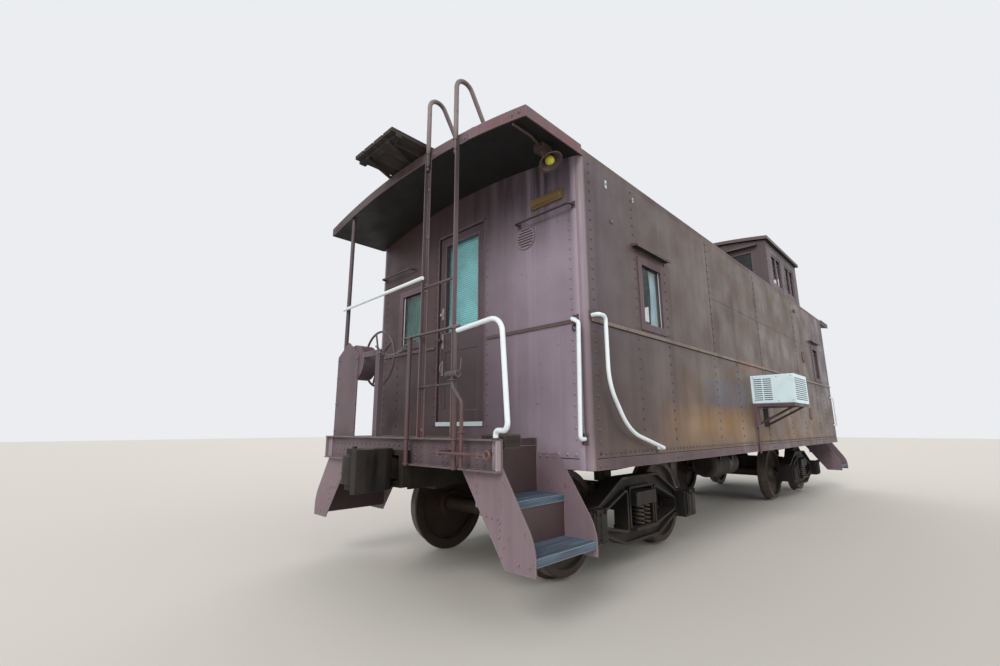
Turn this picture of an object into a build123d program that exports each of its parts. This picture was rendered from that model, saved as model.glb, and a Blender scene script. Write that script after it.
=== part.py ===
from build123d import *
import math
import os

os.makedirs("parts", exist_ok=True)

# A steel cupola caboose with a platform at each end.
# X runs along the car, with the end that carries the lamp and the sign at -X.
# The side with the air conditioner is at -Y, and Z is up from the flange bottoms.
# All sizes are in millimetres.

# Track and wheels
FLANGE_H = 28            # flange depth, so the rail head is this high
BACK_TO_BACK = 1353      # between the backs of two wheels
TREAD_R = 419            # 33 inch wheel
RIM_W = 137
RIM_T = 62
FLANGE_T = 32
PLATE_T = 26
HUB_R = 118
HUB_W = 170
AXLE_R = 76
JOURNAL_R = 62
JOURNAL_Y = 975          # journal centres, each side of the car's middle
JOURNAL_GAP = 0.6        # between journal and box

# Trucks
TRUCK_X = 2925           # truck centres, each side of the car's middle
WHEELBASE = 1676
FRAME_T = 140            # side frame's depth across the car
FRAME_TOP = 748
FRAME_LOW = 190
CHORD = 92               # depth of the side frame's chords
FLANGE_W = 20            # the casting's flanges round every edge
WEB_T = 44
LID_T = 22
PEDESTAL_W = 250         # journal box along the car
JBOX_H = 250
JBOX_D = 215
WINDOW_HALF = 200        # opening for the bolster in the side frame
WINDOW_LOW = 318
WINDOW_TOP = 640
BOLSTER_HALF = 184
BOLSTER_LOW = 500
BOLSTER_END_TOP = 612
CENTRE_PLATE_R = 165
CENTRE_PLATE_Z = 662     # bearing height above the rail head
PLATE_GAP = 0.3
KINGPIN_R = 25
KINGPIN_GAP = 2
SIDE_BEARING_Y = 635
BEARING_GAP = 8
SPRING_R = 52
SPRING_PITCH = 112
SPRING_TURNS = 6
SEAT_HALF = 118          # spring seat, each side of the side frame's middle
SEAT_T = 26
SHOE_GAP = 8
SHOE_T = 42
SHOE_W = 92

# Body, heights above the rail head
BODY_L = 8510
BODY_W = 2842
WALL = 60
CORNER_R = 50
SIDE_BOTTOM = 888
EAVE = 3266
ROOF_RISE = 154
ROOF_T = 60
BELT = 1951
BELT_H = 26
BELT_T = 14
SILL_PLATE_H = 74
SILL_PLATE_T = 5
FLOOR_TOP = 1107
FLOOR_T = 45

# Underframe
CENTRE_SILL_HALF = 165
CENTRE_SILL_T = 16
CENTRE_SILL_LOW = 720
SIDE_SILL_D = 60
SIDE_SILL_T = 12
BODY_BOLSTER_HALF = 150

# Platforms
PORCH = 640
DECK_HALF = 915
DECK_BOARD = 118
DECK_GAP = 6
END_SILL_LOW = 905
END_SILL_HALF = 1175
END_SILL_T = 14
END_SILL_LIP = 44
LIP_T = 10
SILL_ARCH = 95           # height of the end sill left over the coupler
POCKET_HALF = 200
STRIKER_OUT = 60
STRIKER_CLEAR = 135      # opening's half width
FASCIA_H = 82
FASCIA_T = 10
STEP_PLATE_T = 8
RISER_T = 5
TREAD_T = 46
STEP_TOP = 1000
# step plate's edge: inside the body's side, above the rail head
STEP_FOOT = (
    (634, 905), (233, 352), (-11, 352), (-11, 450),
)
STEP_KNEE = (11, 545)
STEP_BACK = (
    (59, 632), (293, 1000), (634, 1000),
)
# riser's outer face inside the body's side, its low and high edges above the rail head
STEP_RISERS = (
    (249, 402, 676),
    (496, 676, 1062),
)
# tread's outer and inner edges inside the body's side, its top above the rail head
STEP_TREADS = (
    (-4, 248, 448),
    (243, 495, 722),
)
ROD_OUT = 119            # uncoupling rod, outside the end sill's web
ROD_Z = 1015
ROD_R = 10
ROD_Y = (-620, -1150)
ROD_BRACKETS = (-700, -1100)
EYE_R = 24

# Doors and windows
DOOR_W = 660
DOOR_LOW = 1190
DOOR_TOP = 3075
DOOR_T = 42
DOOR_RECESS = 58
DOOR_GAP = 8
DOOR_SILL = 26
THRESHOLD_H = 43
THRESHOLD_OUT = 8
THRESHOLD_IN = 10
PANEL_DEEP = 8
KNOB_Z = 2010
KNOB_EDGE = 42
KNOB_OUT = 38
KNOB_R = 24
DOOR_GLASS_W = 470
DOOR_GLASS_Z = (2085, 2985)
HINGE_R = 10
HINGE_PIN_R = 4
HINGE_H = 120
HINGE_X = 72             # hinge axis inside the end wall's outer face
HINGE_Z = (1420, 2150, 2880)
WIN_W = 400
WIN_H = 580
WIN_Z = 2318
WIN_FRAME = 38
SASH_W = 24              # the sash's own width inside its frame
SASH_OUT = 12
SASH_IN = 40
BLIND_IN = 44
BLIND_T = 12
SIDE_WIN_X = 1040        # window centre from the end wall
END_WIN_Y = 780
GLASS_T = 5
CAP_W = 630
CAP_OUT = 62
CAP_T = 12
CAP_SLOPE = 16
CAP_DROP = 14
CAP_LIP = 6
CAP_Z = 2715

# Cupola, heights above the body's eaves
CUPOLA_X0 = 5085         # from the end wall at -X
CUPOLA_L = 1845
CUPOLA_INSET = 16        # its sides inside the body's sides
CUPOLA_WALL = 50
CUPOLA_H = 822
CUPOLA_RISE = 126
CUPOLA_ROOF_T = 52
CUPOLA_OVERHANG = 46
CUPOLA_WIN_W = 550
CUPOLA_WIN_MARGIN = 245
CUPOLA_WIN_LOW = 146
CUPOLA_WIN_TOP = 669
CUPOLA_END_WIN_W = 370
CUPOLA_END_WIN_EDGE = 185
CUPOLA_END_WIN_LOW = 324
CUPOLA_END_WIN_TOP = 699
CUPOLA_SASH = 34
CUPOLA_POST = 46
CUPOLA_SASH_OUT = 6      # from the wall's face to the sash's
CUPOLA_CAP_W = 503
CUPOLA_CAP_OUT = 74
CUPOLA_CAP_LOW = 764

# Roof walk
PLANK_W = 134
PLANK_T = 32
PLANK_GAP = 20
PLANKS = 4
WALK_RISE = 92           # top of the planks above the roof's crown
WALK_REACH = 360         # past the end of the roof
CLEAT_W = 60
CLEAT_T = 28
BRACE_W = 36
BRACE_T = 12
BRACE_Y = ((-200, -40), (130, 290))   # outer and inner end of each brace
LATERAL_Y = (-320, -845)
LATERAL_X = 40           # inside the roof's end
LATERAL_T = 45
LATERAL_RISE = 24
LATERAL_CLEATS = (-420, -760)
LATERAL_CLEAT_W = 40

# Ladder, railing and grabs at the platform end
LADDER_Y = (-354, -714)
STILE = 38
STILE_T = 6
LADDER_PIPE_R = 16
ARCH_FOOT = 3290         # where the pipe starts inside the stile's top
STILE_TOP = 3420
ARCH_CORNER = 4205       # where the pipe's two straight runs would meet
ARCH_REACH = 470
ARCH_R = 88
RUNG_R = 10
RUNG_Z = (1484, 2270)
RAIL_POST_Y = (-225, -790)
RAIL_TOP = 1874
RAIL_T = 10
RAIL_PAST = (45, 85)     # the bar past its outer and inner post
POST_R = 17
CORNER_POST_Y = 1031
CORNER_POST_IN = 36
CORNER_POST_R = 20
AIR_PIPE_R = 13
AIR_PIPE_Y = (-800, -900)
AIR_PIPE_Z = (1560, 1460, 1350, 930)
VALVE_R = 24
VALVE_Y = (-860, -740)
VALVE_Z = 1540
GRAB_R = 15
GRAB_OUT = 60
PORCH_GRAB_R = 17
PORCH_GRAB_BEND = (1243, 1885)
PORCH_GRAB_ELBOW = (1295, 1162)
PORCH_GRAB_FOOT_Y = 1150
END_GRAB_Z = (1957, 1920, 1100)
END_GRAB_EDGE = (99, 36, 55)     # its three points inside the body's side
# along the body from the end wall, above the rail head
HOOKED_GRAB = (
    (55, 1984), (148, 1984), (152, 1480), (400, 1150), (950, 1012),
)
SHORT_GRAB_X = 200
SHORT_GRAB_Z = (1735, 1215)
CROSS_RAIL_Z = (2350, 2338)
WALL_GRAB_Z = 2870
WALL_GRAB_R = 10
WALL_GRAB_IN = (84, 645)         # its two ends inside the body's side

# Hand brake at the other side of the platform
BRAKE_PLATE_Y = (712, 1108)
BRAKE_PLATE_T = 12
BRAKE_SHOULDER = 1868
BRAKE_TIP = 1994
BRAKE_Y = 780
BRAKE_Z = 1850
DRUM_R = 165
DRUM_Z = 1790
DRUM_L = 146
BRAKE_ANGLE = (330, 390)
BRAKE_ANGLE_T = 8
BRAKE_ANGLE_D = 50
STRAP_Z = (1822, 1868)
SHAFT_R = 16
SHAFT_L = 278
HAND_WHEEL_R = 270
HAND_WHEEL_ROD = 11
SPOKES = 5
SPOKE_R = 9
HUB_BOSS_R = 42
HUB_BOSS_L = 34

# Couplers
COUPLER_Z = 876
COUPLER_PIVOT = 330      # inside the end sill's face
PULLING_FACE = 410       # outside the end sill's face
SHANK_HALF = 62
SHANK_H = 150
HEAD_H = 300
LUG_T = 45
KNUCKLE_GAP = 5
KNUCKLE_PIN_R = 18
KNUCKLE_PIN_GAP = 0.8
DRAFT_PIN_R = 22
DRAFT_PIN_GAP = 0.8
# outline of the coupler's head: back from the pulling face, across the car
HEAD = (
    (340, -62), (250, -120), (60, -168), (-34, -178), (-40, -128), (95, -70), (130, 20), (130, 58),
    (175, 120), (250, 118), (340, 62),
)
LUG = (
    (60, 148), (150, 148), (250, 118), (250, -20), (130, -20), (60, 58),
)
KNUCKLE_PIN = (105, 100)
KNUCKLE = (
    (115, 66), (75, 58), (62, 25), (58, -18), (20, -34), (0, -10), (0, 62), (18, 118), (62, 146), (109, 137),
)
KNUCKLE_HUB_R = 38

# Fittings, along the body from the end wall at -X and above the rail head
CONDITIONER_X = (3545, 4167)
CONDITIONER_Z = (1458, 1803)
CONDITIONER_OUT = 467
LOUVRES = 11
LOUVRE_PITCH = 25
LOUVRE_H = 11
LOUVRE_W = 92
LOUVRE_DEEP = 8
LOUVRE_START = 40
LOUVRE_PANELS = (225, 120)       # from the body's side
SHELF_T = 34
SHELF_OUT = 455
SHELF_X = (3535, 4185)
STRUT_X = (3735, 4165)
STRUT_OUT = 400
STRUT_Z = 1200
STRUT_R = 13
CHANNEL_X = (3535, 3640)
CHANNEL_OUT = 40
CHANNEL_Z = 1178
DRAIN_R = 12
DRAIN_X = 3585
DRAIN_Z = 868
VENT_R = 100
VENT_T = 10
VENT_Y = -845
VENT_Z = 2742
VENT_SLOTS = 7
VENT_PITCH = 24
VENT_SLOT = 10
DISC_X = 6550
DISC_Z = (2362, 1395)
SIGN_EDGE = (181, 503)           # inside the body's side
SIGN_BELOW = (220, 306)          # under the eaves
SIGN_T = 20
STOVE_PIPE_X = 3655
STOVE_PIPE_Y = 820
STOVE_PIPE_R = 76
STOVE_PIPE_H = 390
STOVE_CAP_R = 150
STOVE_CAP_H = 70
LAMP_X = 250                     # outside the end wall
LAMP_EDGE = 171                  # inside the body's side
LAMP_BOX = 100
LAMP_BOX_H = 55

ZR = FLANGE_H
HALF_L = BODY_L / 2
HALF_W = BODY_W / 2
AXLE_Z = ZR + TREAD_R
END_X = HALF_L + PORCH
NEAR = -1
FAR = 1


def block(x, y, z):
    """A box from pairs of low and high faces."""
    size = (x[1] - x[0], y[1] - y[0], z[1] - z[0])
    middle = ((x[0] + x[1]) / 2, (y[0] + y[1]) / 2, (z[0] + z[1]) / 2)
    return Pos(*middle) * Box(*size)


def rod(start, end, radius):
    """A round bar between two points."""
    run = Vector(*end) - Vector(*start)
    plane = Plane(origin=start, z_dir=run)
    return plane * Pos(0, 0, run.length / 2) * Cylinder(radius, run.length)


def pipe(points, radii, radius):
    """A bent pipe: straight runs joined by tangent arcs."""
    path = FilletPolyline(*points, radius=radii)
    section = Plane(origin=path @ 0, z_dir=path % 0) * Circle(radius)
    return sweep(section, path=path)


def profile_yz(points_face, x0, x1):
    """A face drawn across the car, pulled from x0 to x1."""
    return Pos(x0, 0, 0) * extrude(Plane.YZ * points_face, amount=x1 - x0)


def plate_xz(points, y0, y1, radius=0):
    """An outline drawn along the car, pulled from y0 to y1."""
    face = make_face(Polyline(*points, close=True))
    if radius:
        face = fillet(face.vertices(), radius)
    return Pos(0, y1, 0) * extrude(Plane.XZ * face, amount=y1 - y0)


def plate_xy(points, z0, z1, radius=0):
    """An outline drawn in plan, pulled from z0 to z1."""
    face = make_face(Polyline(*points, close=True))
    if radius:
        face = fillet(face.vertices(), radius)
    return Pos(0, 0, z0) * extrude(face, amount=z1 - z0)


def arch(half_w, edge_z, rise, thick):
    """The cross-section of an arched roof sheet."""
    low = ThreePointArc((-half_w, edge_z), (0, edge_z + rise), (half_w, edge_z))
    high = ThreePointArc(
        (half_w, edge_z + thick), (0, edge_z + rise + thick), (-half_w, edge_z + thick)
    )
    right = Line((half_w, edge_z), (half_w, edge_z + thick))
    left = Line((-half_w, edge_z + thick), (-half_w, edge_z))
    return make_face([low, right, high, left])


def below_arch(half_w, floor_z, edge_z, rise):
    """The region from floor_z up to an arched underside."""
    top = ThreePointArc((half_w, edge_z), (0, edge_z + rise), (-half_w, edge_z))
    sides = Polyline((-half_w, edge_z), (-half_w, floor_z), (half_w, floor_z), (half_w, edge_z))
    return make_face([top, sides])


def turned(shape):
    """The same thing at the car's other end."""
    return Rot(0, 0, 180) * shape


def both_ends(shapes):
    """The shapes of the -X end, and the same turned round to the +X end."""
    return list(shapes) + [turned(s) for s in shapes]


def save(name, shapes):
    """Write one node: one solid, or several that do not touch."""
    solids = []
    for shape in shapes if isinstance(shapes, (list, tuple)) else [shapes]:
        solids += shape.solids()
    export_step(Compound(children=solids) if len(solids) > 1 else solids[0], f"parts/{name}.step")


def roof_height(y, half_w, rise):
    """How far an arched underside lies above its edge at y."""
    radius = (half_w**2 + rise**2) / (2 * rise)
    return math.sqrt(radius**2 - y**2) - (radius - rise)


def roof_top(y):
    """The height of the body roof's outer surface at y."""
    return roof_low_z + roof_height(y, HALF_W, ROOF_RISE) + ROOF_T


# Body shell

roof_low_z = ZR + EAVE
cabin_floor_z = ZR + FLOOR_TOP
window_low = ZR + WIN_Z - WIN_H / 2
window_high = ZR + WIN_Z + WIN_H / 2
cupola_x = (-HALF_L + CUPOLA_X0, -HALF_L + CUPOLA_X0 + CUPOLA_L)


def side_window_centres():
    return (-HALF_L + SIDE_WIN_X, HALF_L - SIDE_WIN_X)


def under_roof():
    face = below_arch(HALF_W, ZR + SIDE_BOTTOM - 10, roof_low_z, ROOF_RISE)
    return profile_yz(face, -HALF_L - 10, HALF_L + 10)


def side_wall():
    """The side at -Y, its two windows cut, its outer corners rounded."""
    top = roof_low_z + ROOF_RISE
    wall = block((-HALF_L, HALF_L), (-HALF_W, -HALF_W + WALL), (ZR + SIDE_BOTTOM, top))
    corners = wall.edges().filter_by(Axis.Z).group_by(Axis.Y)[0]
    wall = fillet(corners, CORNER_R)
    for x in side_window_centres():
        wall -= block(
            (x - WIN_W / 2, x + WIN_W / 2), (-HALF_W - 10, -HALF_W + WALL + 10), (window_low, window_high)
        )
    return wall & under_roof()


def end_wall():
    """The end wall at -X: doorway, one window, and a notch for the centre sill."""
    inner = HALF_W - WALL
    top = roof_low_z + ROOF_RISE
    x = (-HALF_L, -HALF_L + WALL)
    wall = block(x, (-inner, inner), (ZR + SIDE_BOTTOM, top))
    cut_x = (x[0] - 10, x[1] + 10)
    wall -= block(cut_x, (-DOOR_W / 2, DOOR_W / 2), (ZR + DOOR_LOW, ZR + DOOR_TOP))
    wall -= block(
        cut_x, (END_WIN_Y - WIN_W / 2, END_WIN_Y + WIN_W / 2), (window_low, window_high)
    )
    notch = CENTRE_SILL_HALF + 20
    wall -= block(cut_x, (-notch, notch), (ZR + SIDE_BOTTOM - 10, cabin_floor_z - FLOOR_T))
    threshold = block(
        (x[0] - THRESHOLD_OUT, x[0] + THRESHOLD_IN), (-DOOR_W / 2, DOOR_W / 2),
        (ZR + DOOR_LOW, ZR + DOOR_LOW + THRESHOLD_H),
    )
    return (wall & under_roof()) + threshold + wall_hinges()


def roof_sheet():
    """The arched sheet over the body and both platforms, before it is opened."""
    return profile_yz(arch(HALF_W, roof_low_z, ROOF_RISE, ROOF_T), -END_X, END_X)


def roof():
    """One arched roof, open under the cupola."""
    sheet = roof_sheet()
    inside = HALF_W - CUPOLA_INSET - CUPOLA_WALL
    opening_x = (cupola_x[0] + CUPOLA_WALL, cupola_x[1] - CUPOLA_WALL)
    opening_z = (roof_low_z - 50, roof_low_z + ROOF_RISE + ROOF_T + 50)
    return sheet - block(opening_x, (-inside, inside), opening_z)


def roof_fascia():
    """The arched end strip of the porch roof with its two short side strips."""
    low = roof_low_z - 4
    strip = profile_yz(arch(HALF_W + FASCIA_T, low, ROOF_RISE, FASCIA_H), -END_X - FASCIA_T, -END_X)
    sides = [
        block((-END_X, -HALF_L), (y, y + FASCIA_T), (low, low + FASCIA_H))
        for y in (-HALF_W - FASCIA_T, HALF_W)
    ]
    return strip + sides[0] + sides[1]


cupola_low_z = roof_low_z + CUPOLA_H
cupola_half = HALF_W - CUPOLA_INSET


def cupola_room():
    face = below_arch(cupola_half, roof_low_z - 100, cupola_low_z, CUPOLA_RISE)
    room = profile_yz(face, *cupola_x)
    below = below_arch(HALF_W, roof_low_z - 200, roof_low_z + ROOF_T, ROOF_RISE)
    return room - profile_yz(below, cupola_x[0] - 50, cupola_x[1] + 50)


def cupola_window_spans():
    """Two windows a side, each as far from its corner."""
    first = cupola_x[0] + CUPOLA_WIN_MARGIN
    last = cupola_x[1] - CUPOLA_WIN_MARGIN
    return ((first, first + CUPOLA_WIN_W), (last - CUPOLA_WIN_W, last))


def cupola_end_window(sign):
    """Where a window of the cupola's end walls starts and stops across the car."""
    outer = cupola_half - CUPOLA_END_WIN_EDGE
    return sorted((sign * outer, sign * (outer - CUPOLA_END_WIN_W)))


def cupola_sides():
    """The cupola's two side walls, nearly flush with the sides of the body."""
    low, high = roof_low_z + CUPOLA_WIN_LOW, roof_low_z + CUPOLA_WIN_TOP
    walls = []
    for sign in (NEAR, FAR):
        ys = sorted((sign * cupola_half, sign * (cupola_half - CUPOLA_WALL)))
        wall = block(cupola_x, ys, (roof_low_z, cupola_low_z + CUPOLA_RISE))
        for span in cupola_window_spans():
            wall -= block(span, (ys[0] - 10, ys[1] + 10), (low, high))
        walls.append(wall & cupola_room())
    return walls


def cupola_ends():
    """The cupola's two end walls, each with two windows."""
    inside = cupola_half - CUPOLA_WALL
    low, high = roof_low_z + CUPOLA_END_WIN_LOW, roof_low_z + CUPOLA_END_WIN_TOP
    walls = []
    for x0 in (cupola_x[0], cupola_x[1] - CUPOLA_WALL):
        wall = block((x0, x0 + CUPOLA_WALL), (-inside, inside), (roof_low_z, cupola_low_z + CUPOLA_RISE))
        for sign in (NEAR, FAR):
            ys = cupola_end_window(sign)
            wall -= block((x0 - 10, x0 + CUPOLA_WALL + 10), ys, (low, high))
        walls.append(wall & cupola_room())
    return walls


def cupola_roof():
    half = cupola_half + CUPOLA_OVERHANG
    face = arch(half, cupola_low_z, CUPOLA_RISE, CUPOLA_ROOF_T)
    low = profile_yz(face, cupola_x[0] - CUPOLA_OVERHANG, cupola_x[1] + CUPOLA_OVERHANG)
    return low - cupola_room()


# Outside strips

def belt_rails():
    """The rail under the windows and the plate along the bottom of each side."""
    low = ZR + BELT - BELT_H / 2
    side = block(
        (-HALF_L + CORNER_R, HALF_L - CORNER_R), (-HALF_W - BELT_T, -HALF_W), (low, low + BELT_H)
    )
    sill = block(
        (-HALF_L + CORNER_R, HALF_L - CORNER_R),
        (-HALF_W - SILL_PLATE_T, -HALF_W),
        (ZR + SIDE_BOTTOM, ZR + SIDE_BOTTOM + SILL_PLATE_H),
    )
    strips = [side, sill]
    edge = HALF_W - CORNER_R - 80
    for y0, y1 in ((-edge, -DOOR_W / 2 - 40), (DOOR_W / 2 + 40, edge)):
        strips.append(block((-HALF_L - BELT_T, -HALF_L), (y0, y1), (low, low + BELT_H)))
    return both_ends(strips)


def rain_cap(width, out):
    """A sloped rain cap that stands out to -Y from its seat at y = 0, its underside at z = 0."""
    face = make_face(Polyline(
        (0, 0), (0, CAP_T + CAP_SLOPE), (-out, CAP_T), (-out, -CAP_DROP), (-out + CAP_LIP, -CAP_DROP),
        (-out + CAP_LIP, 0), close=True,
    ))
    return Pos(-width / 2, 0, 0) * extrude(Plane.YZ * face, amount=width)


def drip_caps():
    """Caps over the side windows and over the cupola's end windows."""
    caps = [Pos(x, -HALF_W, ZR + CAP_Z) * rain_cap(CAP_W, CAP_OUT) for x in side_window_centres()]
    for sign in (NEAR, FAR):
        middle = sum(cupola_end_window(sign)) / 2
        low = roof_low_z + CUPOLA_CAP_LOW
        cap = Rot(0, 0, -90) * rain_cap(CUPOLA_CAP_W, CUPOLA_CAP_OUT)
        caps.append(Pos(cupola_x[0], middle, low) * cap)
    high_end = [Pos(cupola_x[1], 0, 0) * turned(Pos(-cupola_x[0], 0, 0) * cap) for cap in caps[2:]]
    return both_ends(caps[:2]) + caps[2:] + high_end


def window_sash(centre):
    """Frame round one side window: a flange outside and a lip in the opening."""
    half = WIN_W / 2
    flange = block(
        (centre - half - WIN_FRAME, centre + half + WIN_FRAME), (-HALF_W - SASH_OUT, -HALF_W),
        (window_low - WIN_FRAME, window_high + WIN_FRAME),
    )
    lip = block((centre - half, centre + half), (-HALF_W, -HALF_W + SASH_IN), (window_low, window_high))
    hole = block(
        (centre - half + SASH_W, centre + half - SASH_W), (-HALF_W - SASH_OUT - 1, -HALF_W + SASH_IN + 1),
        (window_low + SASH_W, window_high - SASH_W),
    )
    return flange + lip - hole


def cupola_sash(span, height, posts):
    """A flat sash drawn in X and Z round one or two lights, its back at y = 0."""
    depth = CUPOLA_WALL / 2 - GLASS_T / 2 - CUPOLA_SASH_OUT
    sash = block(span, (-depth, 0), height)
    low, high = height[0] + CUPOLA_SASH, height[1] - CUPOLA_SASH
    width = (span[1] - span[0] - 2 * CUPOLA_SASH - posts * CUPOLA_POST) / (posts + 1)
    for i in range(posts + 1):
        x = span[0] + CUPOLA_SASH + i * (width + CUPOLA_POST)
        sash -= block((x, x + width), (-depth - 1, 1), (low, high))
    return sash


def cupola_sashes():
    """Paired sashes in the cupola's sides and single ones in its ends, outside their glass."""
    side_z = (roof_low_z + CUPOLA_WIN_LOW, roof_low_z + CUPOLA_WIN_TOP)
    end_z = (roof_low_z + CUPOLA_END_WIN_LOW, roof_low_z + CUPOLA_END_WIN_TOP)
    glass = CUPOLA_WALL / 2 - GLASS_T / 2
    middle = (cupola_x[0] + cupola_x[1]) / 2
    half = CUPOLA_END_WIN_W / 2
    out = []
    for first, last in cupola_window_spans():
        sash = Pos(-middle, -cupola_half + glass, 0) * cupola_sash((first, last), side_z, 1)
        out += [Pos(middle, 0, 0) * sash, Pos(middle, 0, 0) * turned(sash)]
    for sign in (NEAR, FAR):
        y = sum(cupola_end_window(sign)) / 2
        sash = Rot(0, 0, -90) * cupola_sash((-half, half), end_z, 0)
        out.append(Pos(cupola_x[0] + glass, y, 0) * sash)
        out.append(Pos(cupola_x[1] - glass, y, 0) * turned(sash))
    return out


def pane(centre):
    half = WIN_W / 2 - SASH_W
    return block(
        (centre - half, centre + half), (-HALF_W + SASH_OUT, -HALF_W + SASH_OUT + GLASS_T),
        (window_low + SASH_W, window_high - SASH_W),
    )


def blind(centre):
    return block(
        (centre - WIN_W / 2, centre + WIN_W / 2), (-HALF_W + BLIND_IN, -HALF_W + BLIND_IN + BLIND_T),
        (window_low, window_high),
    )


def to_end_wall(shape):
    """Carry what stands at x = 0 on the side at -Y to the window of the -X end wall."""
    return Pos(-HALF_L, END_WIN_Y, 0) * Rot(0, 0, -90) * Pos(0, HALF_W, 0) * shape


def on_all_windows(make):
    near = [make(x) for x in side_window_centres()] + [to_end_wall(make(0))]
    return both_ends(near)


def cupola_panes():
    """Glass of the cupola's side and end windows."""
    panes = []
    low, high = roof_low_z + CUPOLA_WIN_LOW, roof_low_z + CUPOLA_WIN_TOP
    end_low, end_high = roof_low_z + CUPOLA_END_WIN_LOW, roof_low_z + CUPOLA_END_WIN_TOP
    inset = CUPOLA_WALL / 2
    for sign in (NEAR, FAR):
        y = sign * (cupola_half - inset)
        for span in cupola_window_spans():
            panes.append(block(span, (y - GLASS_T / 2, y + GLASS_T / 2), (low, high)))
        ys = cupola_end_window(sign)
        for x in (cupola_x[0] + inset, cupola_x[1] - inset):
            panes.append(block((x - GLASS_T / 2, x + GLASS_T / 2), ys, (end_low, end_high)))
    return panes


# Underframe and floor

def underframe():
    """Centre sill, side sills, cross bearers and the two body bolsters, as one weldment."""
    top = cabin_floor_z - FLOOR_T
    low = ZR + CENTRE_SILL_LOW
    reach_x = END_X - END_SILL_T
    sill = block((-reach_x, reach_x), (-CENTRE_SILL_HALF, CENTRE_SILL_HALF), (low, top))
    hollow = CENTRE_SILL_HALF - CENTRE_SILL_T
    sill -= block((-END_X - 10, END_X + 10), (-hollow, hollow), (low - 10, top - CENTRE_SILL_T))
    side_y = HALF_W - WALL
    frame = sill
    for sign in (NEAR, FAR):
        ys = sorted((sign * (side_y - SIDE_SILL_D), sign * side_y))
        channel = block((-HALF_L + WALL, HALF_L - WALL), ys, (ZR + SIDE_BOTTOM, top))
        inner = sorted((sign * (side_y - SIDE_SILL_D - 10), sign * (side_y - SIDE_SILL_T)))
        channel -= block(
            (-HALF_L, HALF_L), inner, (ZR + SIDE_BOTTOM + SIDE_SILL_T, top - SIDE_SILL_T)
        )
        frame += channel
    reach = side_y - SIDE_SILL_T
    for x in (-700, 0, 700):
        bearer = block((x - 45, x + 45), (-reach, reach), (top - 130, top))
        frame += bearer
    for x in (-TRUCK_X, TRUCK_X):
        frame += Pos(x, 0, 0) * body_bolster(top, reach)
    pivot_x = END_X - COUPLER_PIVOT
    for x in (-pivot_x, pivot_x):
        frame += block((x - 60, x + 60), (-CENTRE_SILL_HALF, CENTRE_SILL_HALF), (low - 20, low))
        frame += rod((x, 0, low - 10), (x, 0, top - 5), DRAFT_PIN_R)
    return frame


def body_bolster(top, reach):
    """A bolster deepest at the centre plate, with its plate, kingpin and side bearings."""
    low = ZR + CENTRE_SILL_LOW
    end_low = top - 150
    outline = Polyline(
        (-reach, top), (reach, top), (reach, end_low), (700, low + 40), (-700, low + 40), (-reach, end_low),
        close=True,
    )
    beam = profile_yz(make_face(outline), -BODY_BOLSTER_HALF, BODY_BOLSTER_HALF)
    plate_z = ZR + CENTRE_PLATE_Z + PLATE_GAP
    plate = Pos(0, 0, (plate_z + low + 60) / 2) * Cylinder(CENTRE_PLATE_R - 10, low + 60 - plate_z)
    pin = Pos(0, 0, plate_z - 60) * Cylinder(KINGPIN_R, 240)
    solid = beam + plate + pin
    for sign in (NEAR, FAR):
        y = sign * SIDE_BEARING_Y
        solid += block((-60, 60), (y - 60, y + 60), (ZR + CENTRE_PLATE_Z + BEARING_GAP, low + 60))
    return solid


def floor():
    """The cabin floor between the walls."""
    inner = HALF_W - WALL
    return block(
        (-HALF_L + WALL, HALF_L - WALL), (-inner, inner), (cabin_floor_z - FLOOR_T, cabin_floor_z)
    )


# Platform ends, drawn at -X

def platform_deck():
    """Deck boards across the platform, from the end wall out to the end sill."""
    boards = []
    pitch = DECK_BOARD + DECK_GAP
    count = int((PORCH - END_SILL_T) // pitch)
    for i in range(count):
        x = -HALF_L - 3 - i * pitch
        boards.append(block(
            (x - DECK_BOARD, x), (-DECK_HALF, DECK_HALF), (cabin_floor_z - FLOOR_T, cabin_floor_z)
        ))
    return boards


def end_sill():
    """A channel across the platform end, cut back in the middle round the coupler."""
    low = ZR + END_SILL_LOW
    high = cabin_floor_z
    sill = block((-END_X, -END_X + END_SILL_T), (-END_SILL_HALF, END_SILL_HALF), (low, high))
    for z in (low, high - LIP_T):
        sill += block((-END_X - END_SILL_LIP, -END_X), (-END_SILL_HALF, END_SILL_HALF), (z, z + LIP_T))
    pocket_x = (-END_X - END_SILL_LIP - 1, -END_X + END_SILL_T + 1)
    return sill - block(pocket_x, (-POCKET_HALF, POCKET_HALF), (low - 1, high - SILL_ARCH))


def uncoupling_rod():
    """The rod with an eye that lifts the coupler's lock, on two brackets from the end sill."""
    x = -END_X - ROD_OUT
    z = ZR + ROD_Z
    lever = rod((x, ROD_Y[0], z), (x, ROD_Y[1], z), ROD_R)
    lever += Pos(x, ROD_Y[1] - EYE_R + ROD_R / 2, z) * Rot(0, 90, 0) * Torus(EYE_R, ROD_R - 2)
    for y in ROD_BRACKETS:
        lever += block((x - ROD_R - 4, -END_X), (y - 5, y + 5), (z - ROD_R - 6, z + ROD_R + 6))
    return lever


def striker():
    """The casting round the coupler shank, under the middle of the end sill."""
    z = ZR + COUPLER_Z
    tall = SHANK_H / 2 + 22
    half = POCKET_HALF - 12
    high = cabin_floor_z - SILL_ARCH
    x = (-END_X - STRIKER_OUT, -END_X + END_SILL_T)
    outer = block(x, (-half, half), (z - tall - 43, high))
    opening = block((x[0] - 1, x[1] + 1), (-STRIKER_CLEAR, STRIKER_CLEAR), (z - tall, z + tall))
    return fillet(outer.edges().filter_by(Axis.X), 20) - opening


def beside(inside, above):
    """A point in Y and Z: so far inside the body's side at -Y, so far above the rail head."""
    return (-HALF_W + inside, ZR + above)


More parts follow.
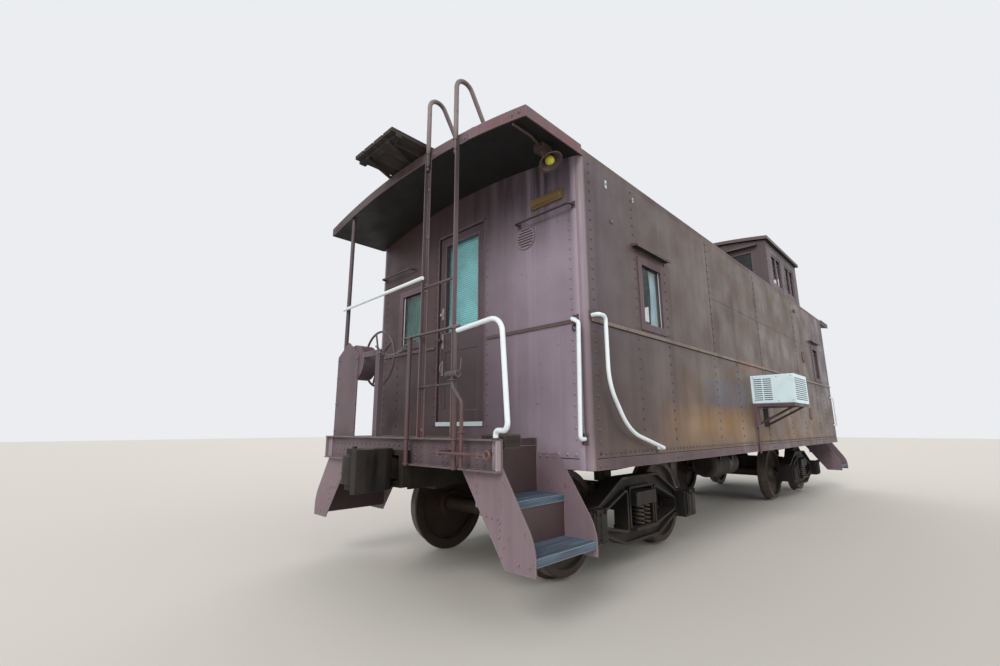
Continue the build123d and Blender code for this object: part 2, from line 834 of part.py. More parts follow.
def step_room():
    """Between the two step plates of one flight."""
    return (-END_X + END_SILL_T + STEP_PLATE_T, -HALF_L - STEP_PLATE_T)


def step_well():
    """Two flared side plates and the riser sheets of one flight, at -Y."""
    foot = [beside(*at) for at in STEP_FOOT]
    back = [beside(*at) for at in STEP_BACK]
    outline = [
        Polyline(*foot), ThreePointArc(foot[-1], beside(*STEP_KNEE), back[0]), Polyline(*back),
        Line(back[-1], foot[0]),
    ]
    face = make_face(outline)
    x = step_room()
    well = profile_yz(face, x[0] - STEP_PLATE_T, x[0]) + profile_yz(face, x[1], x[1] + STEP_PLATE_T)
    for inside, low, high in STEP_RISERS:
        y = -HALF_W + inside
        well += block(x, (y, y + RISER_T), (ZR + low, ZR + high))
    return well


def step_treads():
    """The two wooden treads of one flight."""
    treads = []
    for outer, inner, top in STEP_TREADS:
        treads.append(block(step_room(), (-HALF_W + outer, -HALF_W + inner), (ZR + top - TREAD_T, ZR + top)))
    return treads


def mirrored(shape):
    """The same on the other side of the car."""
    return mirror(shape, Plane.XZ)


def ladder():
    """Angle-iron stiles with pipe arches over the roof edge, and the rungs that are left."""
    x = -END_X - FASCIA_T
    span = (cabin_floor_z, ZR + STILE_TOP)
    parts = None
    for y, side in zip(LADDER_Y, (1, -1)):
        face = block((x - STILE_T, x), sorted((y - side * STILE / 2, y + side * STILE / 2)), span)
        edge = sorted((y + side * STILE / 2, y + side * (STILE / 2 - STILE_T)))
        px = x - LADDER_PIPE_R - STILE_T
        landing = roof_top(y) - 12
        path = [(px, y, ZR + ARCH_FOOT), (px, y, ZR + ARCH_CORNER), (px + ARCH_REACH, y, landing)]
        stile = face + block((x - STILE, x), edge, span) + pipe(path, ARCH_R, LADDER_PIPE_R)
        parts = stile if parts is None else parts + stile
    rung_x = x - STILE_T - RUNG_R + 2
    for z in RUNG_Z:
        parts += rod((rung_x, LADDER_Y[1] - RUNG_R, ZR + z), (rung_x, LADDER_Y[0] + RUNG_R, ZR + z), RUNG_R)
    return parts - roof_sheet()


def railing():
    """Two posts under a flat bar on the platform end, and the bent pipe with its valve."""
    px = -END_X - END_SILL_LIP - POST_R
    top = ZR + RAIL_TOP
    span = (RAIL_POST_Y[1] - RAIL_PAST[0], RAIL_POST_Y[0] + RAIL_PAST[1])
    rail = block((px - POST_R, -END_X - FASCIA_T - STILE), span, (top, top + RAIL_T))
    for y in RAIL_POST_Y:
        rail += rod((px, y, ZR + END_SILL_LOW), (px, y, top), POST_R)
    pipe_x = px - POST_R - AIR_PIPE_R - 1
    y = (AIR_PIPE_Y[0], AIR_PIPE_Y[0], AIR_PIPE_Y[1], AIR_PIPE_Y[1])
    drop = pipe([(pipe_x, yi, ZR + z) for yi, z in zip(y, AIR_PIPE_Z)], 60, AIR_PIPE_R)
    valve_z = ZR + VALVE_Z
    valve = rod((pipe_x, VALVE_Y[0], valve_z), (pipe_x, VALVE_Y[1], valve_z), VALVE_R)
    bracket = rod((pipe_x, RAIL_POST_Y[1], valve_z), (px, RAIL_POST_Y[1], valve_z), VALVE_R / 2)
    return rail + drop + valve + bracket


def corner_post():
    """The pipe from the platform's corner up to the porch roof, on the brake side."""
    x = -END_X + CORNER_POST_IN
    top = roof_top(CORNER_POST_Y) - ROOF_T + 20
    return rod((x, CORNER_POST_Y, cabin_floor_z), (x, CORNER_POST_Y, top), CORNER_POST_R) - roof_sheet()


def platform_rail():
    """The white pipe at the platform's open corner."""
    x = -END_X - END_SILL_LIP - POST_R
    foot_x = -END_X - END_SILL_LIP / 2
    bend_y, bend_z = PORCH_GRAB_BEND
    elbow_y, elbow_z = PORCH_GRAB_ELBOW
    return pipe(
        [(x, RAIL_POST_Y[1] - POST_R - 2, ZR + bend_z - 35), (x, -bend_y, ZR + bend_z),
         (x, -elbow_y, ZR + elbow_z), (foot_x, -PORCH_GRAB_FOOT_Y, ZR + elbow_z),
         (foot_x, -PORCH_GRAB_FOOT_Y, cabin_floor_z)],
        [105, 50, 30], PORCH_GRAB_R,
    )


def end_grab():
    """The upright white grab at the corner of the end wall."""
    x = -HALF_L
    top, middle, low = END_GRAB_Z
    ys = [-HALF_W + inside for inside in END_GRAB_EDGE]
    return pipe(
        [(x, ys[0], ZR + top), (x - GRAB_OUT, ys[0], ZR + top), (x - GRAB_OUT, ys[1], ZR + middle),
         (x - GRAB_OUT, ys[2], ZR + low), (x, ys[2], ZR + low)],
        [22, 24, 24], GRAB_R,
    )


def hooked_grab():
    """The long white grab that sweeps down from the corner along the side."""
    y = -HALF_W - GRAB_OUT
    run = [(-HALF_L + x, y, ZR + z) for x, z in HOOKED_GRAB]
    start, end = run[0], run[-1]
    points = [(start[0], -HALF_W, start[2])] + run + [(end[0], -HALF_W, end[2])]
    return pipe(points, [22, 34, 420, 460, 22], GRAB_R)


def short_grab():
    """The short upright grab on the side at the brake corner."""
    x = -HALF_L + SHORT_GRAB_X
    out = HALF_W + GRAB_OUT
    high, low = (ZR + z for z in SHORT_GRAB_Z)
    return pipe([(x, HALF_W, high), (x, out, high), (x, out, low), (x, HALF_W, low)], 25, GRAB_R)


def cross_rail():
    """The white pipe from the corner post to the ladder."""
    at_post = -END_X + CORNER_POST_IN - CORNER_POST_R - GRAB_R
    at_stile = -END_X - FASCIA_T - STILE - GRAB_R - 2.4
    start = (at_post, CORNER_POST_Y + 25, ZR + CROSS_RAIL_Z[0])
    return rod(start, (at_stile, LADDER_Y[0] - 20, ZR + CROSS_RAIL_Z[1]), GRAB_R)


def wall_grab(side):
    """A level iron grab on the end wall, over the window or over the vent."""
    x = -HALF_L
    z = ZR + WALL_GRAB_Z
    y0, y1 = (side * (HALF_W - inside) for inside in WALL_GRAB_IN)
    return pipe(
        [(x, y0, z), (x - GRAB_OUT, y0, z), (x - GRAB_OUT, y1, z), (x, y1, z)], 18, WALL_GRAB_R
    )


def hand_brake():
    """Pointed housing plate, gear drum, inner angle, strap and shaft on the platform."""
    x = -END_X + 1
    low = cabin_floor_z
    y0, y1 = BRAKE_PLATE_Y
    plate = make_face(Polyline(
        (y0, low), (y1, low), (y1, ZR + BRAKE_SHOULDER), ((y0 + y1) / 2, ZR + BRAKE_TIP),
        (y0, ZR + BRAKE_SHOULDER), close=True,
    ))
    back = x + BRAKE_PLATE_T
    solid = profile_yz(plate, x, back)
    solid += Pos(back + DRUM_L / 2, BRAKE_Y + 10, ZR + DRUM_Z) * Rot(0, 90, 0) * Cylinder(DRUM_R, DRUM_L)
    a0, a1 = BRAKE_ANGLE
    solid += block((x, x + BRAKE_ANGLE_T), (a0, a1), (low, ZR + BRAKE_Z))
    solid += block((x, x + BRAKE_ANGLE_D), (a0, a0 + BRAKE_ANGLE_T), (low, ZR + BRAKE_Z))
    solid += block((back + 2, back + 14), (a0, BRAKE_Y + 120), tuple(ZR + z for z in STRAP_Z))
    return solid + rod((back, BRAKE_Y, ZR + BRAKE_Z), (x + SHAFT_L, BRAKE_Y, ZR + BRAKE_Z), SHAFT_R)


def brake_wheel():
    """A 22 inch spoked hand wheel that faces the platform."""
    wheel = Torus(HAND_WHEEL_R, HAND_WHEEL_ROD) + Cylinder(HUB_BOSS_R, HUB_BOSS_L)
    for i in range(SPOKES):
        wheel += Rot(0, 0, 360 / SPOKES * i + 20) * rod((20, 0, 0), (HAND_WHEEL_R, 0, 0), SPOKE_R)
    wheel -= Cylinder(SHAFT_R + 0.3, 2 * HUB_BOSS_L)
    return Pos(-END_X + SHAFT_L - 16, BRAKE_Y, ZR + BRAKE_Z) * Rot(0, 90, 0) * wheel


# Roof walk

def walk_low():
    """The underside of the planks."""
    return roof_low_z + ROOF_RISE + ROOF_T + WALK_RISE - PLANK_T


def walk_half():
    """Half the width of the planks, set side by side."""
    return (PLANKS * (PLANK_W + PLANK_GAP) - PLANK_GAP) / 2


def lateral_low(y):
    """The underside of the side walk at y, from its inner end down to its outer end."""
    inner, outer = LATERAL_Y
    low, high = roof_top(outer) + LATERAL_RISE, roof_top(inner) + LATERAL_RISE
    return low + (high - low) * (y - outer) / (inner - outer)


def lateral_boards():
    """The first and second board's span along the car, at -X."""
    first = -END_X + LATERAL_X
    second = first + PLANK_W + PLANK_GAP
    return ((first, first + PLANK_W), (second, second + PLANK_W))


def roof_walk():
    """Planks along the crown past both ends and up to the cupola, and a side walk to each ladder."""
    low = walk_low()
    planks = []
    reach = END_X + WALK_REACH
    for x in ((-reach, cupola_x[0] - 12), (cupola_x[1] + 12, reach)):
        for i in range(PLANKS):
            y = -walk_half() + i * (PLANK_W + PLANK_GAP)
            planks.append(block(x, (y, y + PLANK_W), (low, low + PLANK_T)))
    edge = [(y, lateral_low(y)) for y in LATERAL_Y]
    face = make_face(Polyline(*edge, *[(y, z + LATERAL_T) for y, z in reversed(edge)], close=True))
    return planks + both_ends([profile_yz(face, *x) for x in lateral_boards()])


def walk_saddle(x):
    """A steel saddle between the roof's crown and the planks."""
    half = walk_half() + PLANK_GAP / 2
    edge_z = roof_top(half)
    face = make_face([
        ThreePointArc((-half, edge_z), (0, roof_top(0)), (half, edge_z)),
        Polyline((half, edge_z), (half, walk_low()), (-half, walk_low()), (-half, edge_z)),
    ])
    return profile_yz(face, x - 25, x + 25)


def walk_end():
    """The outermost saddle with the cleat under the planks' ends and the two braces to it."""
    low = walk_low()
    cleat_x = -END_X - WALK_REACH + 40
    saddle_x = -END_X + 40
    solid = walk_saddle(saddle_x)
    solid += block((cleat_x, cleat_x + CLEAT_W), (-walk_half(), walk_half()), (low - CLEAT_T, low))
    for outer_y, inner_y in BRACE_Y:
        brace = [
            (cleat_x, outer_y), (saddle_x, inner_y),
            (saddle_x, inner_y + BRACE_W), (cleat_x, outer_y + BRACE_W),
        ]
        solid += plate_xy(brace, low - CLEAT_T - BRACE_T, low - CLEAT_T)
    return solid


def lateral_cleat(y):
    """A cleat between the roof and the side walk's boards."""
    boards = lateral_boards()
    half = LATERAL_CLEAT_W / 2
    top = [(y - half, lateral_low(y - half)), (y + half, lateral_low(y + half))]
    face = make_face(Polyline(
        *top, (y + half, roof_top(y) - ROOF_T / 2), (y - half, roof_top(y) - ROOF_T / 2), close=True
    ))
    return profile_yz(face, boards[0][0] + 10, boards[1][1] - 10) - roof_sheet()


def walk_saddles():
    """The saddles, the ends' cleats and braces, and the side walks' cleats."""
    spots = (-3600, -2500, -1400, -300, cupola_x[0] - 150, cupola_x[1] + 150, END_X - 700)
    ends = [walk_end()] + [lateral_cleat(y) for y in LATERAL_CLEATS]
    return [walk_saddle(x) for x in spots] + both_ends(ends)


# Fittings under the floor

def air_brake_gear():
    """Air reservoir on one side of the centre sill, brake cylinder on the other."""
    z = ZR + 700
    tank = Pos(-300, -760, z) * Rot(0, 90, 0) * Cylinder(160, 900)
    tank = fillet(tank.edges().filter_by(GeomType.CIRCLE), 60)
    straps = [block((x - 20, x + 20), (-920, -600), (z, cabin_floor_z - FLOOR_T)) for x in (-560, -130)]
    cylinder = Pos(420, 620, z + 20) * Rot(0, 90, 0) * Cylinder(140, 380)
    cylinder += Pos(215, 620, z + 20) * Rot(0, 90, 0) * Cylinder(170, 40)
    hanger = block((400, 440), (500, 740), (z + 20, cabin_floor_z - FLOOR_T))
    rod_end = rod((20, 620, z + 20), (200, 620, z + 20), 22)
    return [tank + straps[0] + straps[1], cylinder + hanger + rod_end]


# Trucks, drawn round their own centre

def side_frame(y):
    """A cast side frame of I-section, with its spring seat and two journal boxes, centred on y."""
    axle = WHEELBASE / 2
    box_half = PEDESTAL_W / 2
    top = ZR + FRAME_TOP
    low = ZR + FRAME_LOW
    box_top = AXLE_Z + JBOX_H / 2
    box_low = AXLE_Z - JBOX_H / 2
    right = [
        (300, low), (axle - box_half - 40, box_low + 30), (axle - box_half, box_low),
        (axle + box_half, box_low),
        (axle + box_half, box_top), (axle - box_half, box_top + 12), (330, top),
    ]
    outline = right + [(-px, pz) for px, pz in reversed(right)]
    face = fillet(make_face(Polyline(*outline, close=True)).vertices(), 18)
    column = WINDOW_HALF + 62
    hole = fillet(make_face(Polyline(
        (column, low + CHORD + 20), (axle - box_half - 45, box_low + CHORD),
        (axle - box_half - 45, box_top - CHORD + 20), (column, top - CHORD - 30), close=True,
    )).vertices(), 16)
    window = fillet(make_face(Polyline(
        (-WINDOW_HALF, ZR + WINDOW_LOW), (WINDOW_HALF, ZR + WINDOW_LOW), (WINDOW_HALF, ZR + WINDOW_TOP),
        (-WINDOW_HALF, ZR + WINDOW_TOP), close=True,
    )).vertices(), 20)
    openwork = face - hole - mirror(hole, Plane.YZ) - window
    hollow = offset(openwork, amount=-FLANGE_W)
    hollow_t = (FRAME_T - WEB_T) / 2
    frame = Pos(0, y + FRAME_T / 2, 0) * extrude(Plane.XZ * openwork, amount=FRAME_T)
    for y1 in (y + FRAME_T / 2, y - FRAME_T / 2 + hollow_t):
        frame -= Pos(0, y1, 0) * extrude(Plane.XZ * hollow, amount=hollow_t)
    seat_top = ZR + WINDOW_LOW
    frame += block((-WINDOW_HALF, WINDOW_HALF), (y - SEAT_HALF, y + SEAT_HALF), (seat_top - SEAT_T, seat_top))
    outward = 1 if y > 0 else -1
    for x in (-axle, axle):
        ys = sorted((y - outward * FRAME_T / 2, y + outward * (JBOX_D - FRAME_T / 2)))
        frame += block((x - box_half + 10, x + box_half - 10), ys, (box_low, box_top))
        face_y = y + outward * (JBOX_D - FRAME_T / 2)
        frame += block(
            (x - box_half + 34, x + box_half - 34), sorted((face_y, face_y + outward * LID_T)),
            (box_low + 22, box_top - 10),
        )
        hinge = (face_y + outward * 14, box_top - 4)
        frame += rod((x - 52, *hinge), (x + 52, *hinge), 13)
        inside = y - outward * (FRAME_T / 2 + 20)
        frame -= rod((x, inside, AXLE_Z), (x, outward * (JOURNAL_Y + 130), AXLE_Z), JOURNAL_R + JOURNAL_GAP)
    return frame


def truck_bolster():
    """The bolster through both side frames, with its centre bowl and side bearings."""
    half = BOLSTER_HALF
    reach = JOURNAL_Y + SEAT_HALF
    low = ZR + BOLSTER_LOW
    top = ZR + BOLSTER_END_TOP
    mid_top = ZR + CENTRE_PLATE_Z - 26
    outline = Polyline(
        (-reach, low), (-560, low), (-420, low - 90), (420, low - 90), (560, low), (reach, low),
        (reach, top), (760, top), (700, mid_top), (-700, mid_top), (-760, top), (-reach, top), close=True,
    )
    beam = profile_yz(make_face(outline), -half, half)
    bowl = Pos(0, 0, ZR + CENTRE_PLATE_Z - 20) * Cylinder(CENTRE_PLATE_R, 40)
    beam += bowl
    for sign in (NEAR, FAR):
        y = sign * SIDE_BEARING_Y
        beam += block((-75, 75), (y - 50, y + 50), (mid_top - 5, ZR + CENTRE_PLATE_Z))
    return beam - Pos(0, 0, ZR + CENTRE_PLATE_Z) * Cylinder(KINGPIN_R + KINGPIN_GAP, 420)


def springs():
    """Four coil springs a side, each a ribbed column between the frame and the bolster."""
    low = ZR + WINDOW_LOW
    pitch = (BOLSTER_LOW - WINDOW_LOW) / SPRING_TURNS
    outline = [(0, low)]
    for i in range(SPRING_TURNS):
        z = low + i * pitch
        outline += [(SPRING_R - 14, z), (SPRING_R, z + pitch / 2)]
    outline += [(SPRING_R - 14, low + SPRING_TURNS * pitch), (0, low + SPRING_TURNS * pitch)]
    coil = revolve(Plane.XZ * make_face(Polyline(*outline, close=True)), Axis.Z)
    out = []
    for sign in (NEAR, FAR):
        for dx in (-SPRING_PITCH / 2, SPRING_PITCH / 2):
            for dy in (-SPRING_PITCH / 2, SPRING_PITCH / 2):
                out.append(Pos(dx, sign * JOURNAL_Y + dy, 0) * coil)
    return out


def brake_beams():
    """Two brake beams with their shoes and hangers, between the wheels."""
    out = []
    tread_y = BACK_TO_BACK / 2 + FLANGE_T + (RIM_W - FLANGE_T) / 2 + 4
    inner_r = TREAD_R + SHOE_GAP
    for sign in (NEAR, FAR):
        ax = sign * WHEELBASE / 2
        beam_x = ax - sign * (inner_r + SHOE_T + 26)
        z = AXLE_Z - 50
        beam = rod((beam_x, -tread_y - 30, z), (beam_x, tread_y + 30, z), 28)
        for side in (NEAR, FAR):
            y = side * tread_y
            block_shape = rod((ax, y - SHOE_W / 2, AXLE_Z), (ax, y + SHOE_W / 2, AXLE_Z), inner_r + SHOE_T)
            block_shape -= rod((ax, y - SHOE_W, AXLE_Z), (ax, y + SHOE_W, AXLE_Z), inner_r)
            keep = sorted((ax - sign * (inner_r - 80), ax - sign * (inner_r + SHOE_T + 10)))
            shoe = block_shape & block(keep, (y - SHOE_W, y + SHOE_W), (z - 150, z + 150))
            head = block(
                sorted((beam_x - sign * 10, beam_x + sign * 40)), (y - 30, y + 30), (z - 60, z + 60)
            )
            hang_x = beam_x - sign * 10
            inner_face = side * (JOURNAL_Y - WEB_T / 2)
            hanger = rod((hang_x, y, z), (hang_x, y, ZR + 640), 14)
            arm = rod((hang_x, y, ZR + 640), (hang_x, inner_face, ZR + 640), 14)
            beam += shoe + head + hanger + arm
        out.append(beam)
    return out


def wheel():
    """One wheel turned round the axle, its back face at y = 0 and its rim towards +Y."""
    out = [
        (AXLE_R, -16), (HUB_R, -16), (HUB_R + 10, 20), (TREAD_R - RIM_T, 44), (TREAD_R - RIM_T, 0),
        (TREAD_R + FLANGE_H - 8, 0), (TREAD_R + FLANGE_H, 9), (TREAD_R + FLANGE_H - 5, 22),
        (TREAD_R + 4, FLANGE_T), (TREAD_R, FLANGE_T + 10), (TREAD_R - 5, RIM_W - 6),
        (TREAD_R - 11, RIM_W), (TREAD_R - RIM_T, RIM_W), (TREAD_R - RIM_T, 44 + PLATE_T + 22),
        (HUB_R + 14, 20 + PLATE_T + 30), (HUB_R, HUB_W - 16), (AXLE_R, HUB_W - 16),
    ]
    face = make_face(Polyline(*out, close=True))
    return revolve(face, Axis.Y)


def wheels(x):
    """The two wheels of one axle at x."""
    back = BACK_TO_BACK / 2
    one = Pos(x, back, AXLE_Z) * wheel()
    return [one, mirror(one, Plane.XZ)]


def axle(x):
    """The axle between and through the wheels, out to the journal collars."""
    back = BACK_TO_BACK / 2
    seat = back + HUB_W - 16
    end = JOURNAL_Y + 112
    half = [
        (0, 0), (AXLE_R - 8, 0), (AXLE_R - 8, back - 60), (AXLE_R, back - 16), (AXLE_R, seat),
        (JOURNAL_R + 6, seat + 20), (JOURNAL_R, seat + 30), (JOURNAL_R, end), (0, end),
    ]
    face = make_face(Polyline(*half, close=True))
    one = revolve(face, Axis.Y)
    return Pos(x, 0, AXLE_Z) * (one + mirror(one, Plane.XZ))


# Couplers, drawn at -X with the knuckle on the +Y side

def from_face(points):
    """Points in plan, given back from the pulling face and across the car."""
    return [(-END_X - PULLING_FACE + back, across) for back, across in points]


def coupler():
    """Shank and head with guard arm, and lugs above and below the knuckle."""
    face_x = -END_X - PULLING_FACE
    pivot = -END_X + COUPLER_PIVOT
    z = ZR + COUPLER_Z
    shank_z = (z - SHANK_H / 2, z + SHANK_H / 2)
    solid = block((face_x + HEAD[0][0] - 20, pivot), (-SHANK_HALF, SHANK_HALF), shank_z)
    solid += Pos(pivot, 0, z) * Cylinder(SHANK_HALF, SHANK_H)
    solid += plate_xy(from_face(HEAD), z - HEAD_H / 2, z + HEAD_H / 2, 12)
    for z0 in (z - HEAD_H / 2, z + HEAD_H / 2 - LUG_T):
        solid += plate_xy(from_face(LUG), z0, z0 + LUG_T, 10)
    solid += Pos(face_x + KNUCKLE_PIN[0], KNUCKLE_PIN[1], z) * Cylinder(KNUCKLE_PIN_R, HEAD_H + 30)
    return solid - Pos(pivot, 0, z) * Cylinder(DRAFT_PIN_R + DRAFT_PIN_GAP, SHANK_H + 20)


def knuckle():
    """The hooked jaw on its pin, between the lugs."""
    z = ZR + COUPLER_Z
    half = HEAD_H / 2 - LUG_T - KNUCKLE_GAP
    pin = Pos(-END_X - PULLING_FACE + KNUCKLE_PIN[0], KNUCKLE_PIN[1], z)
    jaw = plate_xy(from_face(KNUCKLE), z - half, z + half, 6)
    hub = pin * Cylinder(KNUCKLE_HUB_R, 2 * half)
    return jaw + hub - pin * Cylinder(KNUCKLE_PIN_R + KNUCKLE_PIN_GAP, 2 * half + 20)


# Doors, drawn in the -X end wall

def door_leaf():
    """The recessed end door: one panelled leaf with a tall window and a knob on each face."""
    x = (-HALF_L + DOOR_RECESS - DOOR_T, -HALF_L + DOOR_RECESS)
    half = DOOR_W / 2 - DOOR_GAP
    low = ZR + DOOR_LOW + DOOR_SILL
    leaf = block(x, (-half, half), (low, ZR + DOOR_TOP - DOOR_GAP))
    glass = DOOR_GLASS_W / 2
    leaf -= block((x[0] - 1, x[1] + 1), (-glass, glass), tuple(ZR + v for v in DOOR_GLASS_Z))
    leaf -= block((x[0] - 1, x[0] + PANEL_DEEP), (-glass, glass), (low + 120, ZR + DOOR_GLASS_Z[0] - 185))
    y, z = half - KNOB_EDGE, ZR + KNOB_Z
    leaf += rod((x[0] - KNOB_OUT, y, z), (x[1] + KNOB_OUT, y, z), 9)
    for end_x in (x[0] - KNOB_OUT, x[1] + KNOB_OUT):
        leaf += Pos(end_x, y, z) * Sphere(KNOB_R)
    return leaf + leaf_hinges(half)


def leaf_hinges(half):
    """The leaf's middle barrels, each with its strap to the leaf's inner face."""
    pivot_x = -HALF_L + HINGE_X
    solid = None
    for z in HINGE_Z:
        span = (ZR + z - HINGE_H / 6 + 0.5, ZR + z + HINGE_H / 6 - 0.5)
        barrel = Pos(pivot_x, -DOOR_W / 2, ZR + z) * Cylinder(HINGE_R, span[1] - span[0])
        strap = block((-HALF_L + WALL + 2, pivot_x - 5), (-DOOR_W / 2, -half + 2), span)
        flap = block((-HALF_L + DOOR_RECESS, pivot_x - 5), (-half, -half + 42), span)
        one = barrel + strap + flap - Pos(pivot_x, -DOOR_W / 2, ZR + z) * Cylinder(HINGE_PIN_R + 0.5, HINGE_H)
        solid = one if solid is None else solid + one
    return solid


def wall_hinges():
    """The wall's upper and lower barrels with the pin between them."""
    pivot_x = -HALF_L + HINGE_X
    inner = -HALF_L + WALL
    third = HINGE_H / 3
    solid = None
    for z in HINGE_Z:
        one = Pos(pivot_x, -DOOR_W / 2, ZR + z) * Cylinder(HINGE_PIN_R, HINGE_H)
        for dz in (-third, third):
            one += Pos(pivot_x, -DOOR_W / 2, ZR + z + dz) * Cylinder(HINGE_R, third)
            span = (ZR + z + dz - third / 2, ZR + z + dz + third / 2)
            one += block((inner, pivot_x - 4), (-DOOR_W / 2 - 45, -DOOR_W / 2 - 5), span)
        solid = one if solid is None else solid + one
    return solid


def door_pane():
    x = -HALF_L + DOOR_RECESS - DOOR_T / 2
    glass = DOOR_GLASS_W / 2
    return block((x - GLASS_T / 2, x + GLASS_T / 2), (-glass, glass), tuple(ZR + v for v in DOOR_GLASS_Z))


# Things fixed to the body at one place

def air_conditioner():
    """The window unit that stands out of the side at -Y."""
    x = tuple(-HALF_L + v for v in CONDITIONER_X)
    y = (-HALF_W - CONDITIONER_OUT, -HALF_W)
    z = tuple(ZR + v for v in CONDITIONER_Z)
    case = block(x, y, z)
    case = fillet(case.edges().filter_by(Axis.Y), 12)
    for i in range(LOUVRES):
        low = z[0] + LOUVRE_START + i * LOUVRE_PITCH
        for y0 in (y[1] - inset for inset in LOUVRE_PANELS):
            case -= block((x[0] - 1, x[0] + LOUVRE_DEEP), (y0, y0 + LOUVRE_W), (low, low + LOUVRE_H))
        case -= block((x[0] + 30, x[1] - 30), (y[0] - 1, y[0] + LOUVRE_DEEP), (low, low + LOUVRE_H))
    return case


def air_conditioner_shelf():
    """The shelf under the unit, with its two struts, the channel on the wall and the drain pipe."""
    top = ZR + CONDITIONER_Z[0]
    low = top - SHELF_T
    side = -HALF_W
    shelf = block(tuple(-HALF_L + v for v in SHELF_X), (side - SHELF_OUT, side), (low, top))
    outside = block((-HALF_L, HALF_L), (side - SHELF_OUT, side), (ZR, low + SHELF_T / 2))
    for dx in STRUT_X:
        x = -HALF_L + dx
        strut = rod((x, side - STRUT_OUT, low + 4), (x, side + 30, ZR + STRUT_Z), STRUT_R)
        shelf += strut & outside
    channel_x = tuple(-HALF_L + v for v in CHANNEL_X)
    shelf += block(channel_x, (side - CHANNEL_OUT, side), (ZR + CHANNEL_Z, low + 4))
    drain = (-HALF_L + DRAIN_X, side - DRAIN_R - 6)
    return shelf + rod((*drain, ZR + DRAIN_Z), (*drain, ZR + CHANNEL_Z + DRAIN_R), DRAIN_R)


def porch_lamp():
    """Ceiling box, shade and bulb, with the conduit along the porch ceiling."""
    bx, by = -HALF_L - LAMP_X, -HALF_W + LAMP_EDGE
    ceiling = roof_top(by) - ROOF_T
    half = LAMP_BOX / 2
    lamp = block((bx - half, bx + half), (by - half, by + half), (ceiling - LAMP_BOX_H, ceiling + 6))
    down = Vector(0.05, -0.45, -0.9).normalized()
    start = Vector(bx, by, ceiling - 30)
    along = Plane(origin=tuple(start + down * 80), z_dir=down)
    lamp += rod(tuple(start), tuple(start + down * 110), 30)
    lamp += along * (Pos(0, 0, 35) * Cone(34, 92, 70) - Pos(0, 0, 41) * Cone(28, 88, 72))
    lamp += Pos(*(start + down * 125)) * Sphere(34)
    z = ceiling - 26
    lamp += pipe([(-END_X + 12, by - 40, z), (bx - 180, by - 40, z), (bx - 30, by, z)], 60, 10)
    return lamp - roof_sheet()


def wall_vent():
    """A round louvred vent plate on the end wall."""
    z = ZR + VENT_Z
    disc = Pos(-HALF_L - VENT_T / 2, VENT_Y, z) * Rot(0, 90, 0) * Cylinder(VENT_R, VENT_T)
    for i in range(VENT_SLOTS):
        dz = (i - (VENT_SLOTS - 1) / 2) * VENT_PITCH
        half = math.sqrt((VENT_R - 12)**2 - dz**2)
        slot_z = (z + dz - VENT_SLOT / 2, z + dz + VENT_SLOT / 2)
        disc -= block((-HALF_L - VENT_T - 1, -HALF_L - 3), (VENT_Y - half, VENT_Y + half), slot_z)
    return disc


def side_discs():
    """The round blanking plates on the side, one above and one below the belt."""
    x = -HALF_L + DISC_X
    return [Pos(x, -HALF_W - VENT_T / 2, ZR + z) * Rot(90, 0, 0) * Cylinder(VENT_R, VENT_T) for z in DISC_Z]


def sign_board():
    """The small blank wooden board over the grab."""
    ys = tuple(-HALF_W + inside for inside in SIGN_EDGE)
    return block((-HALF_L - SIGN_T, -HALF_L), ys, (roof_low_z - SIGN_BELOW[1], roof_low_z - SIGN_BELOW[0]))


def smokejack():
    """A short stove pipe with its cap, on the far side of the roof."""
    x, y = -HALF_L + STOVE_PIPE_X, STOVE_PIPE_Y
    base = roof_top(y)
    flue = Pos(x, y, base + STOVE_PIPE_H / 2 - 15) * Cylinder(STOVE_PIPE_R, STOVE_PIPE_H + 30) - roof_sheet()
    cap = Pos(x, y, base + STOVE_PIPE_H + STOVE_CAP_H / 2 - 10) * Cone(STOVE_CAP_R, 40, STOVE_CAP_H)
    return flue + cap


# Write the nodes

save("underframe", underframe())
save("floor", floor())
save("side_wall_right", side_wall())
save("side_wall_left", turned(side_wall()))
save("end_wall_near", end_wall())
save("end_wall_far", turned(end_wall()))
save("roof", roof())
save("roof_fascia", both_ends([roof_fascia()]))
save("cupola_side_walls", cupola_sides())
save("cupola_end_walls", cupola_ends())
save("cupola_roof", cupola_roof())
save("roof_walk", roof_walk())
save("walk_saddles", walk_saddles())
save("belt_rails", belt_rails())
save("drip_caps", drip_caps())
save("window_sashes", on_all_windows(window_sash) + cupola_sashes())
save("window_panes", on_all_windows(pane) + cupola_panes())
save("window_blinds", on_all_windows(blind))
save("platform_decks", both_ends(platform_deck()))
save("end_sills", both_ends([end_sill()]))
save("strikers", both_ends([striker()]))
save("step_wells", both_ends([step_well(), mirrored(step_well())]))
save("step_treads", both_ends(step_treads() + [mirrored(t) for t in step_treads()]))
save("end_ladders", both_ends([ladder()]))
save("end_railings", both_ends([railing(), corner_post(), uncoupling_rod()]))
save("hand_brakes", both_ends([hand_brake()]))
save("brake_wheels", both_ends([brake_wheel()]))
save("white_grabs", both_ends([platform_rail(), end_grab(), hooked_grab(), short_grab(), cross_rail()]))
save("wall_grabs", both_ends([wall_grab(NEAR), wall_grab(FAR)]))
save("air_brake_gear", air_brake_gear())
save("air_conditioner", air_conditioner())
save("air_conditioner_shelf", air_conditioner_shelf())
save("porch_lamp", porch_lamp())
save("wall_vents", both_ends([wall_vent()]) + side_discs())
save("sign_board", sign_board())
save("smokejack", smokejack())

